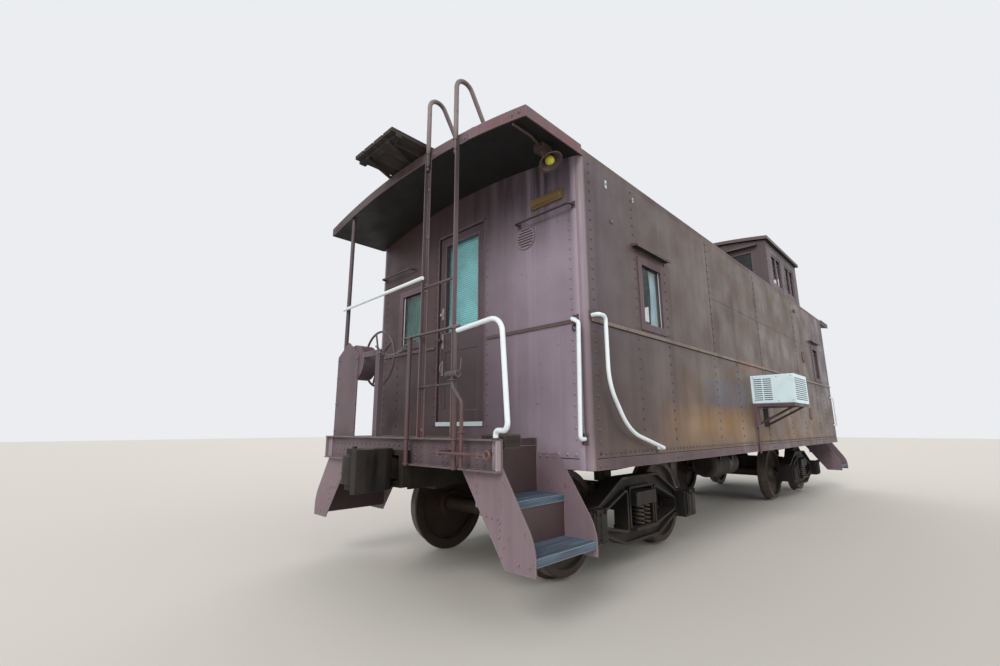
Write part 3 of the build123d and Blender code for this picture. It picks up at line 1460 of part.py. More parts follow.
for end, sign in (("near", NEAR), ("far", FAR)):
    place = Pos(sign * TRUCK_X, 0, 0)
    save(f"truck_{end}_side_frames", [place * side_frame(JOURNAL_Y), place * side_frame(-JOURNAL_Y)])
    save(f"truck_{end}_bolster", place * truck_bolster())
    save(f"truck_{end}_springs", [place * s for s in springs()])
    save(f"truck_{end}_brake_beams", [place * b for b in brake_beams()])
    for number, side in (("outer", sign), ("inner", -sign)):
        x = sign * TRUCK_X + side * WHEELBASE / 2
        save(f"wheels_{end}_{number}", wheels(x))
        save(f"axle_{end}_{number}", axle(x))
    flip = turned if sign == FAR else (lambda s: s)
    save(f"coupler_{end}", flip(coupler()))
    save(f"knuckle_{end}", flip(knuckle()))
    save(f"door_{end}", flip(door_leaf()))
    save(f"door_pane_{end}", flip(door_pane()))
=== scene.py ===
import math

import bmesh
import bpy
from mathutils import Matrix, Vector


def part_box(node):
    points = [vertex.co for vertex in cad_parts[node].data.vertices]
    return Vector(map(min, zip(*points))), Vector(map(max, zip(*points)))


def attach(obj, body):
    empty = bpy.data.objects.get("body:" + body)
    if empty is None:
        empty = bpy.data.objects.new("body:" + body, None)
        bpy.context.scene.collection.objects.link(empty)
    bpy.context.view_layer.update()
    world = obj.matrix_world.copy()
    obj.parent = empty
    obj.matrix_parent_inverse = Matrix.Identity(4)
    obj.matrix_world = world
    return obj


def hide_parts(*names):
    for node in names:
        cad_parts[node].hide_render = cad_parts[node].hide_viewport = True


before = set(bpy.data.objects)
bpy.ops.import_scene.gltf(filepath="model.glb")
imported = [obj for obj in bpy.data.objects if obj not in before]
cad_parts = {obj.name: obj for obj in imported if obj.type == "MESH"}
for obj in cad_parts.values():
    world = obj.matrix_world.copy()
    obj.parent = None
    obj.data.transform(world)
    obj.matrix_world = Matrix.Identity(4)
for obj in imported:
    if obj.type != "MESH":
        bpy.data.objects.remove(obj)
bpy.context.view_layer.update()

# Places on the car in metres, read from the solids where they give them
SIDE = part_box("side_wall_right")
HALF_L = SIDE[1][0]
HALF_W = -SIDE[0][1]
SKIN_LOW = SIDE[0][2]
WALL = -HALF_L
FACE = -HALF_W
RAIL = 0.028
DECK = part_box("platform_decks")[1][2]
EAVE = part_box("roof")[0][2]
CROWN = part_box("roof")[1][2]
END_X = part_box("roof")[1][0]
SILL = -END_X
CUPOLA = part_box("cupola_side_walls")
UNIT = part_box("air_conditioner")
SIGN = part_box("sign_board")
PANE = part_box("door_pane_near")
STOVE_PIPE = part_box("smokejack")
STEP_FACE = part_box("step_wells")[0][0]
WALK_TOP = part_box("roof_walk")[1][2]
BELT = RAIL + 1.951
BELT_HALF = 0.013
BELT_OUT = 0.014
ROOF_RISE = 0.154
ROOF_R = (HALF_W ** 2 + ROOF_RISE ** 2) / (2 * ROOF_RISE)
WINDOW_X = HALF_L - 1.040
WINDOW_LOW = RAIL + 2.028
WINDOW_HIGH = RAIL + 2.608
LADDER_Y = (-0.354, -0.714)
POST_Y = (-0.225, -0.790)
BAR_TOP = RAIL + 1.884
TRUCK_X = 2.925
AXLE_Z = RAIL + 0.419
JOURNAL_Y = 0.975
AXLE_OUT = 0.838
LID_Y = 1.142

# Ways that a face looks
RIGHT = (0.0, -1.0, 0.0)
LEFT = (0.0, 1.0, 0.0)
NEAR = (-1.0, 0.0, 0.0)
FAR = (1.0, 0.0, 0.0)
UP = (0.0, 0.0, 1.0)


def linear(code):
    """A hex colour as written, turned to the numbers the shader wants."""
    parts = [int(code[i:i + 2], 16) / 255 for i in (1, 3, 5)]
    return tuple(v / 12.92 if v <= 0.04045 else ((v + 0.055) / 1.055) ** 2.4 for v in parts) + (1.0,)


def add(tree, kind, *given, outlet=0, **settings):
    """Add a node with its settings, link what comes from other nodes, and hand back an outlet.
    Values fill its inputs in order, and a dictionary names them."""
    node = tree.nodes.new(kind if "Node" in kind else "ShaderNode" + kind)
    for name, value in settings.items():
        setattr(node, name, value)
    wanted = {}
    for number, value in enumerate(given):
        wanted.update(value if isinstance(value, dict) else {number: value})
    for socket, value in wanted.items():
        if isinstance(value, bpy.types.NodeSocket):
            tree.links.new(value, node.inputs[socket])
        else:
            node.inputs[socket].default_value = linear(value) if str(value)[0] == "#" else value
    return node.outputs[outlet] if len(node.outputs) else node


def linked(made):
    """Put an object in the scene."""
    bpy.context.collection.objects.link(made)
    return made


# Camera, at the photograph's place

CAMERA_AT = (-6.993, -3.250, 1.207)
CAMERA_YAW = math.radians(44.770)
CAMERA_PITCH = math.radians(11.627)
CAMERA_ROLL = math.radians(-0.144)

camera_data = bpy.data.cameras.new("camera")
camera_data.sensor_width = 36.0
camera_data.lens = 16.56
camera_data.clip_start = 0.05
camera = linked(bpy.data.objects.new("camera", camera_data))
looking = Vector((
    math.cos(CAMERA_YAW) * math.cos(CAMERA_PITCH),
    math.sin(CAMERA_YAW) * math.cos(CAMERA_PITCH),
    math.sin(CAMERA_PITCH),
))
turn = looking.to_track_quat("-Z", "Y").to_matrix().to_4x4()
camera.matrix_world = Matrix.Translation(CAMERA_AT) @ turn @ Matrix.Rotation(CAMERA_ROLL, 4, "Z")
bpy.context.scene.camera = camera


# Studio

FLOOR_REACH = 60.0
# lamp, where it stands, strength, degrees of softness
LAMPS = (
    ("key", (-0.85, -0.30, 0.62), 1.55, 30),
    ("side_fill", (0.10, -0.90, 0.45), 0.70, 60),
    ("back_fill", (0.70, 0.75, 0.55), 0.9, 60),
)


def studio():
    """A matte floor, a bright sky that lights less than it shows, and three soft lamps."""
    floor_mesh = bpy.data.meshes.new("studio_floor")
    corners = [(x * FLOOR_REACH, y * FLOOR_REACH, 0) for x, y in ((-1, -1), (1, -1), (1, 1), (-1, 1))]
    floor_mesh.from_pydata(corners, [], [(0, 1, 2, 3)])
    floor = linked(bpy.data.objects.new("studio_floor", floor_mesh))
    paper = bpy.data.materials.new("studio paper, matte")
    paper.use_nodes = True
    paper.node_tree.nodes["Principled BSDF"].inputs["Base Color"].default_value = linear("#d2cfc9")
    paper.node_tree.nodes["Principled BSDF"].inputs["Roughness"].default_value = 0.9
    floor_mesh.materials.append(paper)

    world = bpy.data.worlds.new("studio")
    bpy.context.scene.world = world
    world.use_nodes = True
    tree = world.node_tree
    tree.nodes.clear()
    shown = add(tree, "LightPath", outlet="Is Camera Ray")
    rays = shown.node.outputs
    for way in ("Is Transmission Ray", "Is Glossy Ray"):
        shown = add(tree, "Math", shown, rays[way], operation="MAXIMUM")
    level = add(tree, "MapRange", {"Value": shown, "To Min": 0.62, "To Max": 0.92})
    add(tree, "OutputWorld", add(tree, "Background", "#f4f6fa", level))

    for name, toward, strength, softness in LAMPS:
        lamp = bpy.data.lights.new(name, "SUN")
        lamp.energy = strength
        lamp.angle = math.radians(softness)
        lamp.color = linear("#fffaf2")[:3]
        holder = linked(bpy.data.objects.new(name, lamp))
        holder.matrix_world = Vector(toward).to_track_quat("Z", "Y").to_matrix().to_4x4()


studio()
bpy.context.scene.view_settings.view_transform = "Standard"


# Finishes

def blank(name, **sockets):
    """A material with its shader's own sockets set, and the place that its patterns start from."""
    material = bpy.data.materials.new(name)
    material.use_nodes = True
    tree = material.node_tree
    shader = tree.nodes["Principled BSDF"]
    for socket, value in sockets.items():
        shader.inputs[socket.replace("_", " ")].default_value = value
    return material, tree, shader, add(tree, "TexCoord", outlet="Object")


def clouds(tree, place, size, detail=3.0, stretch=(1, 1, 1), rough=0.5):
    """Cloudy patches about size millimetres across; a stretch under 1 draws them out along its axis."""
    drawn = add(tree, "Mapping", {"Vector": place, "Scale": stretch})
    return add(tree, "TexNoise", {"Vector": drawn, "Scale": 1000 / size, "Detail": detail, "Roughness": rough})


def overlap(tree, *ranges):
    """The share that several ranges give together. Each is a pattern, the values at which it starts and is
    full, and the shares there if they are not 0 and 1."""
    share = None
    for pattern, *ends in ranges:
        part = add(tree, "MapRange", pattern, *ends)
        share = part if share is None else add(tree, "Math", share, part, operation="MULTIPLY")
    return share


def laid_over(tree, colour, tint, *ranges):
    """A tint laid over a colour, as far as the ranges let it."""
    return add(tree, "Mix", {0: overlap(tree, *ranges), 6: colour, 7: tint}, data_type="RGBA", outlet=2)


def facing(tree, way):
    """How far the surface looks along an axis."""
    return add(tree, "SeparateXYZ", add(tree, "NewGeometry", outlet="Normal"), outlet=way)


def flatness(tree, width):
    """1 on a flat face and less on an edge, where the direction averaged over width differs from the true one."""
    averaged = add(tree, "Bevel", width, samples=4)
    true = add(tree, "NewGeometry", outlet="Normal")
    return add(tree, "VectorMath", averaged, true, operation="DOT_PRODUCT", outlet="Value")


def surfaced(tree, shader, height, strength, depth, **links):
    """Link a finish to its shader's sockets, with a relief that is depth metres deep at full strength."""
    links["Normal"] = add(tree, "Bump", {"Height": height, "Strength": strength, "Distance": depth})
    for socket, value in links.items():
        tree.links.new(value, shader.inputs[socket.replace("_", " ")])


# where the pale edge begins on the rounded corner of a section or board, and where it is full:
# wear on most finishes, a painted highlight on the ladder irons and the belt rail
EDGE_WEAR_AND_HIGHLIGHT = (0.99, 0.90)


def faded_paint(name, paint, chalk, stain, rust, gloss=0.42, runs=0.55, blooms=0.62, bands=(), below=None,
                edge=None, corner=None, middle=None, across=None, slope=None, patches=(), one_side=False):
    """Old oxide-red enamel on steel: chalky where the sun reaches, dark runs down it from the seams,
    small blooms of rust, and a sheet that is a little wavy. A band is a tint that is full at one height
    and gone at another, as dust near the ground, primer at the foot of a post, a painted shade under a
    roof and a painted highlight on a rail. The slope is a painted shade across a face. The slope's and
    the patches' places are x times y, which is the same at both ends of a car turned half round."""
    material, tree, shader, place = blank(name, Roughness=gloss)
    x, y, height = add(tree, "SeparateXYZ", place).node.outputs
    from_middle = add(tree, "Math", x, operation="ABSOLUTE")
    crossed = add(tree, "Math", x, y, operation="MULTIPLY")
    # bleaching by the metre, as sheets in sun and shade differ
    colour = laid_over(tree, paint, chalk, (clouds(tree, place, 1110, 4), 0.35, 0.68))
    # a tint laid toward the middle of the car's length; on the side sheets it is a painted reflection of the warm
    # ground
    if middle:
        colour = laid_over(tree, colour, middle, (from_middle, 4.0, 2.0, 0.0, 0.75))
    # the bands' ragged edge: tongues 170 mm wide and 1.4 m tall
    ragged = clouds(tree, place, 167, 4, (1, 1, 0.12), 0.6)
    for tint, full, gone, amount in bands:
        limits = [(height, gone, full, 0.0, amount), (ragged, 0.30, 0.62, 0.35, 1.0)]
        if middle:
            limits.append((from_middle, 4.2, 2.2, 0.35, 1.0))
        colour = laid_over(tree, colour, tint, *limits)
    # dark runs 200 mm apart and over 3 m long, then pale ones 77 mm apart between them
    drawn = clouds(tree, place, 200, 5, (1, 1, 0.06), 0.6)
    colour = laid_over(tree, colour, stain, (drawn, 0.50, 0.78, 0.0, runs))
    wash = clouds(tree, place, 77, 3, (1, 1, 0.035))
    colour = laid_over(tree, colour, chalk, (wash, 0.54, 0.72, 0.0, 0.55))
    # rust blooms of 10 to 45 mm
    spots = clouds(tree, place, 45, 6, (1, 1, 0.8), 0.7)
    colour = laid_over(tree, colour, rust, (spots, blooms, blooms + 0.08, 0.0, 0.8))
    # a tint near the car's corners, all painted light: a highlight on the sheets' rounded corners, a shadow line on the
    # belt rail's ends and the end walls' sky-lit tone on the vents there
    if corner:
        tint, way, start, full = corner
        out = add(tree, "Math", (x, y)[way], operation="ABSOLUTE")
        colour = laid_over(tree, colour, tint, (out, start, full, 0.0, 0.8))
    # the slope is a painted shade that grows across a face toward one corner
    if slope:
        tint, full, gone, amount = slope
        colour = laid_over(tree, colour, tint, (crossed, gone, full, 0.0, amount))
    for tint, amount, (first, last), (low, high), soft in patches:
        lift = 0.2 * soft
        limits = [(crossed, first - soft, first + soft, 0.0, amount), (crossed, last + soft, last - soft),
                  (height, low - lift, low + lift), (height, high + lift, high - lift),
                  (wash, 0.35, 0.62, 0.45, 1.0)]
        if one_side:
            limits.append((y, 0.1, -0.1))
        colour = laid_over(tree, colour, tint, *limits)
    # faces that look across the car are darkened, a painted shade
    if across:
        turned_away = add(tree, "Math", facing(tree, "Y"), operation="ABSOLUTE")
        colour = laid_over(tree, colour, across, (turned_away, 0.5, 0.8, 0.0, 0.85))
    if edge:
        colour = laid_over(tree, colour, edge, (flatness(tree, 0.006), *EDGE_WEAR_AND_HIGHLIGHT))
    # faces that look down are darkened: a painted shade under the trim, and on the roof's underside dark paint with a
    # painted shade
    if below:
        colour = laid_over(tree, colour, below, (facing(tree, "Z"), -0.35, -0.8))
    dull = overlap(tree, (clouds(tree, place, 333, 5), 0.3, 0.7, gloss - 0.10, gloss + 0.22))
    # sheets wave every 450 mm; brushed paint's grain is under 1 mm and is drawn 5 mm wide to show at all
    sheet, peel = clouds(tree, place, 455, 2), clouds(tree, place, 5.56, 2)
    bumps = add(tree, "Math", peel, 0.02, sheet, operation="MULTIPLY_ADD")
    surfaced(tree, shader, bumps, 0.35, 0.012, Base_Color=colour, Roughness=dull)
    return material


def grimy_iron(name, iron, dust, oil, rough=0.72, edge=None):
    """Cast or rolled steel under road dust and old oil: black, brown dust on what faces up, glossy
    where oil has run, and bare on the corners that get knocked."""
    material, tree, shader, place = blank(name)
    colour = laid_over(tree, iron, dust, (clouds(tree, place, 286, 5), 0.38, 0.66))
    colour = laid_over(tree, colour, dust, (facing(tree, "Z"), 0.35, 0.95, 0.0, 0.65))
    # oil runs, 110 mm apart and five times as tall
    runs = overlap(tree, (clouds(tree, place, 111, 4, (1, 1, 0.2)), 0.55, 0.72, 0.0, 0.8))
    colour = laid_over(tree, colour, oil, (runs,))
    if edge:
        colour = laid_over(tree, colour, edge, (flatness(tree, 0.006), *EDGE_WEAR_AND_HIGHLIGHT, 0.0, 0.6))
    dull = overlap(tree, (runs, 0.0, 0.8, rough, rough - 0.3))
    # moulding sand leaves a grain of 1 mm, drawn 8 mm wide because finer is lost at this distance
    surfaced(tree, shader, clouds(tree, place, 8.33, 4), 0.5, 0.0015, Base_Color=colour, Roughness=dull)
    return material


def weathered_wood(name, pale, dark, stain, along=0, scale=1.0, edge=None):
    """Softwood left in the weather: silver-grey, the late wood standing proud in long ridges, darker
    in the checks and where feet go, pale on the edges that boots have rubbed."""
    material, tree, shader, place = blank(name, Roughness=0.82)
    # growth rings are 3 to 5 mm apart; their ridges are drawn 29 mm apart, the least that shows
    ring, length = 29.4 / scale, 625
    stretch = [1, 1, 1]
    stretch[along] = ring / length
    grain = clouds(tree, place, ring, 5, stretch, 0.65)
    colour = laid_over(tree, dark, pale, (grain, 0.34, 0.66))
    colour = laid_over(tree, colour, stain, (clouds(tree, place, 435, 3), 0.45, 0.7, 0.0, 0.55))
    # drying checks, half as far apart as the ridges and as long
    stretch[along] = ring / 2 / length
    crack = overlap(tree, (clouds(tree, place, ring / 2, 2, stretch), 0.66, 0.70, 0.0, 0.85))
    colour = laid_over(tree, colour, "#1d1712", (crack,))
    if edge:
        colour = laid_over(tree, colour, edge, (flatness(tree, 0.008), 0.99, 0.88))
    height = add(tree, "Math", crack, -1.6, grain, operation="MULTIPLY_ADD")
    surfaced(tree, shader, height, 0.7, 0.003, Base_Color=colour)
    return material


def plain_enamel(name, colour, worn, rough=0.35, wear=0.66, chip="#4a3027"):
    """Brushed-on enamel: even and glossy, with chips at a few spots and a film of dirt."""
    material, tree, shader, place = blank(name)
    dirt = overlap(tree, (clouds(tree, place, 143, 5), 0.5, 0.8, 0.0, 0.35))
    shade = laid_over(tree, colour, worn, (dirt,))
    # chips of 5 to 20 mm
    shade = laid_over(tree, shade, chip, (clouds(tree, place, 21.7, 4, rough=0.7), wear, wear + 0.03))
    dull = overlap(tree, (dirt, 0.0, 0.35, rough, rough + 0.25))
    # brush marks of 1 to 2 mm, drawn 11 mm wide as a soft unevenness
    surfaced(tree, shader, clouds(tree, place, 11.1, 2), 0.18, 0.001, Base_Color=shade, Roughness=dull)
    return material


def woven_cloth(name, colour, shade):
    """Thin curtain cloth: a fine weave, a soft sheen, and a painted shade in long upright streaks for the folds."""
    material, tree, shader, place = blank(name, Roughness=0.85, Sheen_Weight=0.3)
    # threads of 0.4 mm, drawn 1.1 mm wide and 17 mm long, down and across
    down, across = (clouds(tree, place, 1.11, 1, stretch) for stretch in ((1, 1, 0.0667), (0.0667, 0.0667, 1)))
    weave = add(tree, "Math", down, across, operation="MULTIPLY")
    # darker in long upright streaks: a painted shade for the folds
    tone = laid_over(tree, colour, shade, (clouds(tree, place, 200, 3, (1, 1, 0.3)), 0.35, 0.7))
    surfaced(tree, shader, weave, 0.4, 0.0006, Base_Color=tone)
    return material


def window_glass(name):
    """Old float glass: mostly clear, a grey-green film in soft patches that is dust and a painted reflection of the
    trees, a slow ripple.
    """
    material, tree, shader, place = blank(name, Base_Color=linear("#55625f"), Roughness=0.04, IOR=1.5,
                                          Specular_IOR_Level=1.0, Coat_Weight=1.0)
    # the film is dust and a painted reflection, grey-green
    film = overlap(tree, (clouds(tree, place, 167), 0.3, 0.8, 0.08, 0.20))
    surfaced(tree, shader, clouds(tree, place, 333, 1), 0.05, 0.004, Alpha=film)
    return material


def wheel_steel(name):
    """A rail wheel: plate and hub brown with brake dust and rust, the tread polished by the rail."""
    material, tree, shader, place = blank(name)
    patch = overlap(tree, (clouds(tree, place, 111, 5), 0.35, 0.65))
    colour = laid_over(tree, "#241c19", "#3d2f28", (patch,))
    # scale and rust spots of 5 to 15 mm
    colour = laid_over(tree, colour, "#5a3b2b", (clouds(tree, place, 16.7, 4), 0.6, 0.72, 0.0, 0.7))
    off = add(tree, "Math", add(tree, "SeparateXYZ", place, outlet="Y"), operation="ABSOLUTE")
    level = add(tree, "Math", facing(tree, "Y"), operation="ABSOLUTE")
    bright = overlap(tree, (level, 0.45, 0.2), (off, 0.70, 0.72), (clouds(tree, place, 33.3), 0.3, 0.6, 0.5, 1.0))
    colour = laid_over(tree, colour, "#75706b", (bright,))
    metal = overlap(tree, (bright, 0.0, 1.0, 0.0, 0.75))
    dull = overlap(tree, (patch, 0.0, 1.0, 0.45, 0.75))
    # the forging's grain of 1 mm, drawn 7 mm wide
    surfaced(tree, shader, clouds(tree, place, 7.14), 0.4, 0.001, Base_Color=colour, Metallic=metal, Roughness=dull)
    return material


# Bands: tint, height where full, height where gone, share
# dust low on the side sheets, tinted golden as a painted reflection of the warm ground
DUST_AND_REFLECTION = ("#7c5f3f", RAIL + 1.05, RAIL + 1.85, 0.70)
SPLASH = ("#5a4133", RAIL + 0.90, RAIL + 1.06, 0.55)
PRIMER = ("#753a2f", RAIL + 1.15, RAIL + 1.42, 0.5)
# painted shade under the porch roof, darkest at the top of the end wall
ROOF_SHADE = ("#1f1617", RAIL + 3.20, RAIL + 2.45, 0.95)
# painted sky light: the ladder irons paler above the roof's edge than under it
SKY_LIT_ABOVE_ROOF = ("#85797a", RAIL + 3.52, RAIL + 3.40, 1.0)
# painted highlight: the belt rail paler along its raised face
BELT_HIGHLIGHT = ("#85776a", RAIL + 1.94, RAIL + 1.50, 1.0)
# Patches: tint, share, first and last x times y, low and high z, softness
SIDE_PATCHES = (
    ("#3f2e31", 0.70, (4.4, 6.3), (1.06, 1.95), 0.5),
    # the golden patch low on the side is a painted reflection of sunlit leaves
    ("#8f6a3c", 0.75, (1.3, 4.2), (1.10, 1.36), 0.5),
    ("#565460", 0.80, (1.21, 3.06), (1.43, 1.71), 0.12),
    ("#7d3f31", 0.65, (0.28, 1.50), (1.90, 1.97), 0.15),
)
BELT_PATCH = ("#8a4636", 0.8, (0.28, 1.60), (1.80, 2.10), 0.15)
FASCIA_PATCH = ("#7b5257", 0.6, (4.6, 7.4), (3.0, 3.6), 0.6)

# Paints: paint, chalk, stain, rust, then gloss, runs, blooms and what else the place has had
FINISH = {
    # the side sheets carry the end sheets' paint, painted darker as it looks in shade, with a painted highlight on the
    # rounded corner and a painted reflection of the warm ground, golden toward the middle and low down
    "side": faded_paint("oxide enamel on side sheets, sun-faded and dusty", "#4b3e42", "#64575d", "#2e2325", "#62382b",
                        runs=0.75, bands=[DUST_AND_REFLECTION, SPLASH], corner=("#94848f", 0, 4.212, 4.232), middle="#5e4d3b",
                        patches=SIDE_PATCHES, one_side=True),
    "rivet": faded_paint("oxide enamel on rivet heads, dark and rubbed", "#3f3336", "#63585c", "#2b2021", "#62382b",
                         0.45, 0.5, 0.58, edge="#85797c"),
    # the end sheets carry the side sheets' paint, painted paler and bluer as the sky lights it, with a painted
    # highlight on the rounded corner and a painted shade growing toward the brake corner
    "end": faded_paint("oxide enamel on end sheets, painted sky light and shade", "#857684", "#a295a4", "#5c4c55", "#6e4034",
                       0.5, 0.42, 0.64, bands=[SPLASH, ROOF_SHADE], corner=("#a79aa8", 1, 1.300, 1.355),
                       slope=("#3f2a2d", -0.6, 4.6, 0.94)),
    "cupola": faded_paint("oxide enamel on the cupola's sheets, dull", "#43383b", "#56494d", "#2c2323", "#5f372b"),
    # the trim's faces that look down are near black, a painted shade
    "trim": faded_paint("oxide enamel on pressed trim", "#4c383d", "#665058", "#332325", "#6b3a2e", 0.5, 0.35, 0.60,
                        edge="#817077", below="#1a1213"),
    "pale_trim": faded_paint("oxide enamel rubbed pale on edges", "#85757b", "#a4969b", "#5f4d52", "#74402f", 0.5,
                             0.35, 0.62, edge="#bdb2b6"),
    "roof_top": faded_paint("oxide roof paint on seams", "#524443", "#6e605e", "#382a28", "#6a3d2e", 0.6, 0.3, 0.58),
    "dark_trim": faded_paint("dark oxide enamel, in the porch's shade", "#3d3033", "#54434a", "#241b1c", "#5c3a2e",
                             0.4, 0.4, 0.64, edge="#74666c"),
    # on the fascia the slope is a painted shade, darker toward the brake corner
    "fascia": faded_paint("oxide enamel on the roof's edge, bleached pink in patches", "#574a4f", "#6f6168", "#3f2b2d",
                          "#7d3f3a", 0.5, 0.6, 0.52, edge="#93858a", slope=("#332628", -4.5, 3.0, 0.75),
                          patches=[FASCIA_PATCH]),
    # the roof's underside over the porches is dark paint with a painted shade
    "roof": faded_paint("oxide roof paint, dark underside with painted shade", "#544645", "#716462", "#362a28", "#6a3d2e", 0.6, 0.3, 0.58,
                        below="#0c0909"),
    "frame": faded_paint("oxide enamel over rolled sections", "#57494f", "#6f6067", "#32262a", "#69392b", 0.5, 0.5,
                         0.60, edge="#94858c"),
    # the step wells' faces that look across the car get a painted shade
    "riser": faded_paint("oxide enamel on step sheets, scuffed", "#6d5b62", "#84737b", "#43343a", "#6e4034", 0.5, 0.4,
                         0.60, edge="#a3959b", across="#3c2a29"),
    # on the ladder irons the pale edges are a painted highlight and the pale tint above the roof a painted sky light
    "ladder": faded_paint("oxide enamel on ladder irons, primer at the feet", "#483d40", "#62545a", "#2a2022",
                          "#6b3c2e", 0.5, 0.5, 0.60, bands=[PRIMER, SKY_LIT_ABOVE_ROOF], edge="#8d7f84"),
    # the cover plates on the end walls take the end sheets' sky-lit tone, a painted light
    "disc": faded_paint("dark oxide enamel on cover plates", "#4e322f", "#664945", "#33201e", "#6e3a2c", 0.5, 0.3,
                        0.62, corner=("#8a7a86", 0, 4.15, 4.20)),
    # on the belt rail the pale band and pale edges are a painted highlight, and the darker tint at its ends on the end
    # walls a painted shadow line
    "belt": faded_paint("oxide enamel on the belt rail and the foot of the sheets", "#4f3e43", "#66555b", "#33272a",
                        "#6e3a2c", 0.45, 0.6, 0.60, bands=[BELT_HIGHLIGHT], edge="#85776c",
                        corner=("#4b363b", 0, 4.20, 4.24), patches=[BELT_PATCH], one_side=True),
    "under": grimy_iron("rolled steel under the floor, dusty", "#120f0e", "#2f2621", "#0a0808", edge="#483d35"),
    "casting": grimy_iron("cast steel, oily and dusty", "#101010", "#2c2522", "#070707", edge="#4c453f"),
    "spring": grimy_iron("spring steel, black and dusty", "#1a1513", "#45372e", "#0c0a09", 0.55),
    # near-black sheets: a painted shade in the vent's slots and the unit's louvres, also used for the dark side panel
    "slots": grimy_iron("near black, painted shade in louvres and slots", "#0d0c0c", "#181513", "#060606", 0.9),
    "seam": grimy_iron("painted shadow lines at the laps of the sheets", "#2a1f1f", "#3d2e2b", "#1b1413", 0.85),
    "black": grimy_iron("black iron pipe", "#1b1716", "#33291f", "#0c0a09", 0.6),
    "chain": grimy_iron("galvanised chain, dull", "#56555b", "#7d7b7c", "#2c2a2a", 0.4),
    "zinc": grimy_iron("galvanised hardware, dull", "#7f7c80", "#98928c", "#3d3a39", 0.4),
    "wheel": wheel_steel("forged wheel steel, rusty, tread bright"),
    "white": plain_enamel("white enamel on pipe, knocked", "#e9f3f8", "#b9b9b4", 0.3, 0.70, "#7c6a5e"),
    "conditioner": plain_enamel("white enamel on sheet, cold and clean", "#dff5ff", "#bccbd0", 0.4, 0.8),
    "lamp": plain_enamel("brown enamel on pressed steel", "#4f3f3c", "#2c2422", 0.45),
    "blind": plain_enamel("turquoise enamel on thin slats", "#9ff4ff", "#86dde6", 0.45, 0.95),
    "pale_strip": plain_enamel("white enamel on a window's edge", "#c8d6da", "#9dabb0", 0.4, 0.74),
    "bulb": plain_enamel("yellow glass bulb", "#c9c045", "#9d9530", 0.15, 0.95),
    "deck": weathered_wood("softwood deck boards, green-grey", "#605e55", "#38342d", "#4a4036", 1, edge="#87837a"),
    "tread": weathered_wood("softwood step treads, blue-grey", "#5f7388", "#34414f", "#4a4f57", edge="#9aa0a3"),
    "walk": weathered_wood("softwood roof boards, dark", "#3b332e", "#1f1a17", "#2a231f", edge="#62584f"),
    "sign": weathered_wood("small pine board, oiled and dark", "#8a6f42", "#4b3b24", "#664f2e", 1, 3.0, "#7a6c55"),
    "floorboards": weathered_wood("softwood cabin floor boards", "#5e5145", "#3a3029", "#4a3d33"),
    "glass": window_glass("float glass"),
    "teal_cloth": woven_cloth("teal curtain, thin cotton", "#3f7f78", "#17403d"),
    "pale_cloth": woven_cloth("pale blue curtain, thin cotton", "#bfe0e8", "#8fb4bf"),
}

ENDS = ("near", "far")
SHOWN = {
    "side": ["side_wall_right", "side_wall_left"],
    "belt": ["belt_rails"],
    "end": ["end_wall_near", "end_wall_far"],
    "cupola": ["cupola_side_walls", "cupola_end_walls"],
    "trim": ["drip_caps", "window_sashes", "wall_grabs", "air_conditioner_shelf"],
    "dark_trim": ["door_near", "door_far"],
    "fascia": ["roof_fascia"],
    "roof": ["roof", "cupola_roof", "smokejack"],
    "frame": ["end_sills", "hand_brakes", "brake_wheels"],
    "riser": ["step_wells"],
    "ladder": ["end_ladders", "end_railings"],
    "under": ["underframe", "strikers", "walk_saddles", "air_brake_gear"],
    "casting": [name.format(end) for end in ENDS for name in (
        "truck_{}_side_frames", "truck_{}_bolster", "truck_{}_springs", "truck_{}_brake_beams", "coupler_{}",
        "knuckle_{}")],
    "wheel": [f"{what}_{end}_{row}" for end in ENDS for what in ("wheels", "axle") for row in ("outer", "inner")],
    "white": ["white_grabs"],
    "conditioner": ["air_conditioner"],
    "deck": ["platform_decks"],
    "tread": ["step_treads"],
    "walk": ["roof_walk"],
    "sign": ["sign_board"],
    "floorboards": ["floor"],
    "glass": ["window_panes", "door_pane_near", "door_pane_far"],
    "lamp": ["porch_lamp"],
    "disc": ["wall_vents"],
    "pale_cloth": ["window_blinds"],
}

for finish, nodes in SHOWN.items():
    for name in nodes:
        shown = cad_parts[name]
        shown.data.materials.clear()
        shown.data.materials.append(FINISH[finish])


# Making pieces

def turned(point):
    """The same place at the other end and side of the car."""
    return (-point[0], -point[1], point[2])


def flipped(point):
    """The same place on the car's other side."""
    return (point[0], -point[1], point[2])


def moved(shapes, move):
    """Shapes, each a row of points, with every point moved."""
    return [tuple(move(point) for point in shape) for shape in shapes]


def spread(shapes, *moves):
    """Shapes, and each again as every move turns them."""
    for move in moves:
        shapes = shapes + moved(shapes, move)
    return shapes


def roof_top(y):
    """Height of the roof's outer face."""
    return CROWN - ROOF_R + math.sqrt(ROOF_R ** 2 - y * y)


def settled(holder, name):
    """The evaluated shape of a tree or curve as a plain mesh object, with the holder gone."""
    shape = bpy.data.meshes.new_from_object(holder.evaluated_get(bpy.context.evaluated_depsgraph_get()))
    bpy.data.objects.remove(holder)
    return linked(bpy.data.objects.new(name, shape))


def dressed(made, finish, body="carbody"):
    """Give a piece its finish and the body it rides on."""
    if finish:
        made.data.materials.clear()
        made.data.materials.append(FINISH[finish])
    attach(made, body)
    return made


def open_mesh(name, points, edges, faces=()):
    """A mesh from points, smooth if it has faces."""
    mesh = bpy.data.meshes.new(name)
    mesh.from_pydata(points, edges, list(faces))
    mesh.polygons.foreach_set("use_smooth", [True] * len(mesh.polygons))
    return linked(bpy.data.objects.new(name, mesh))


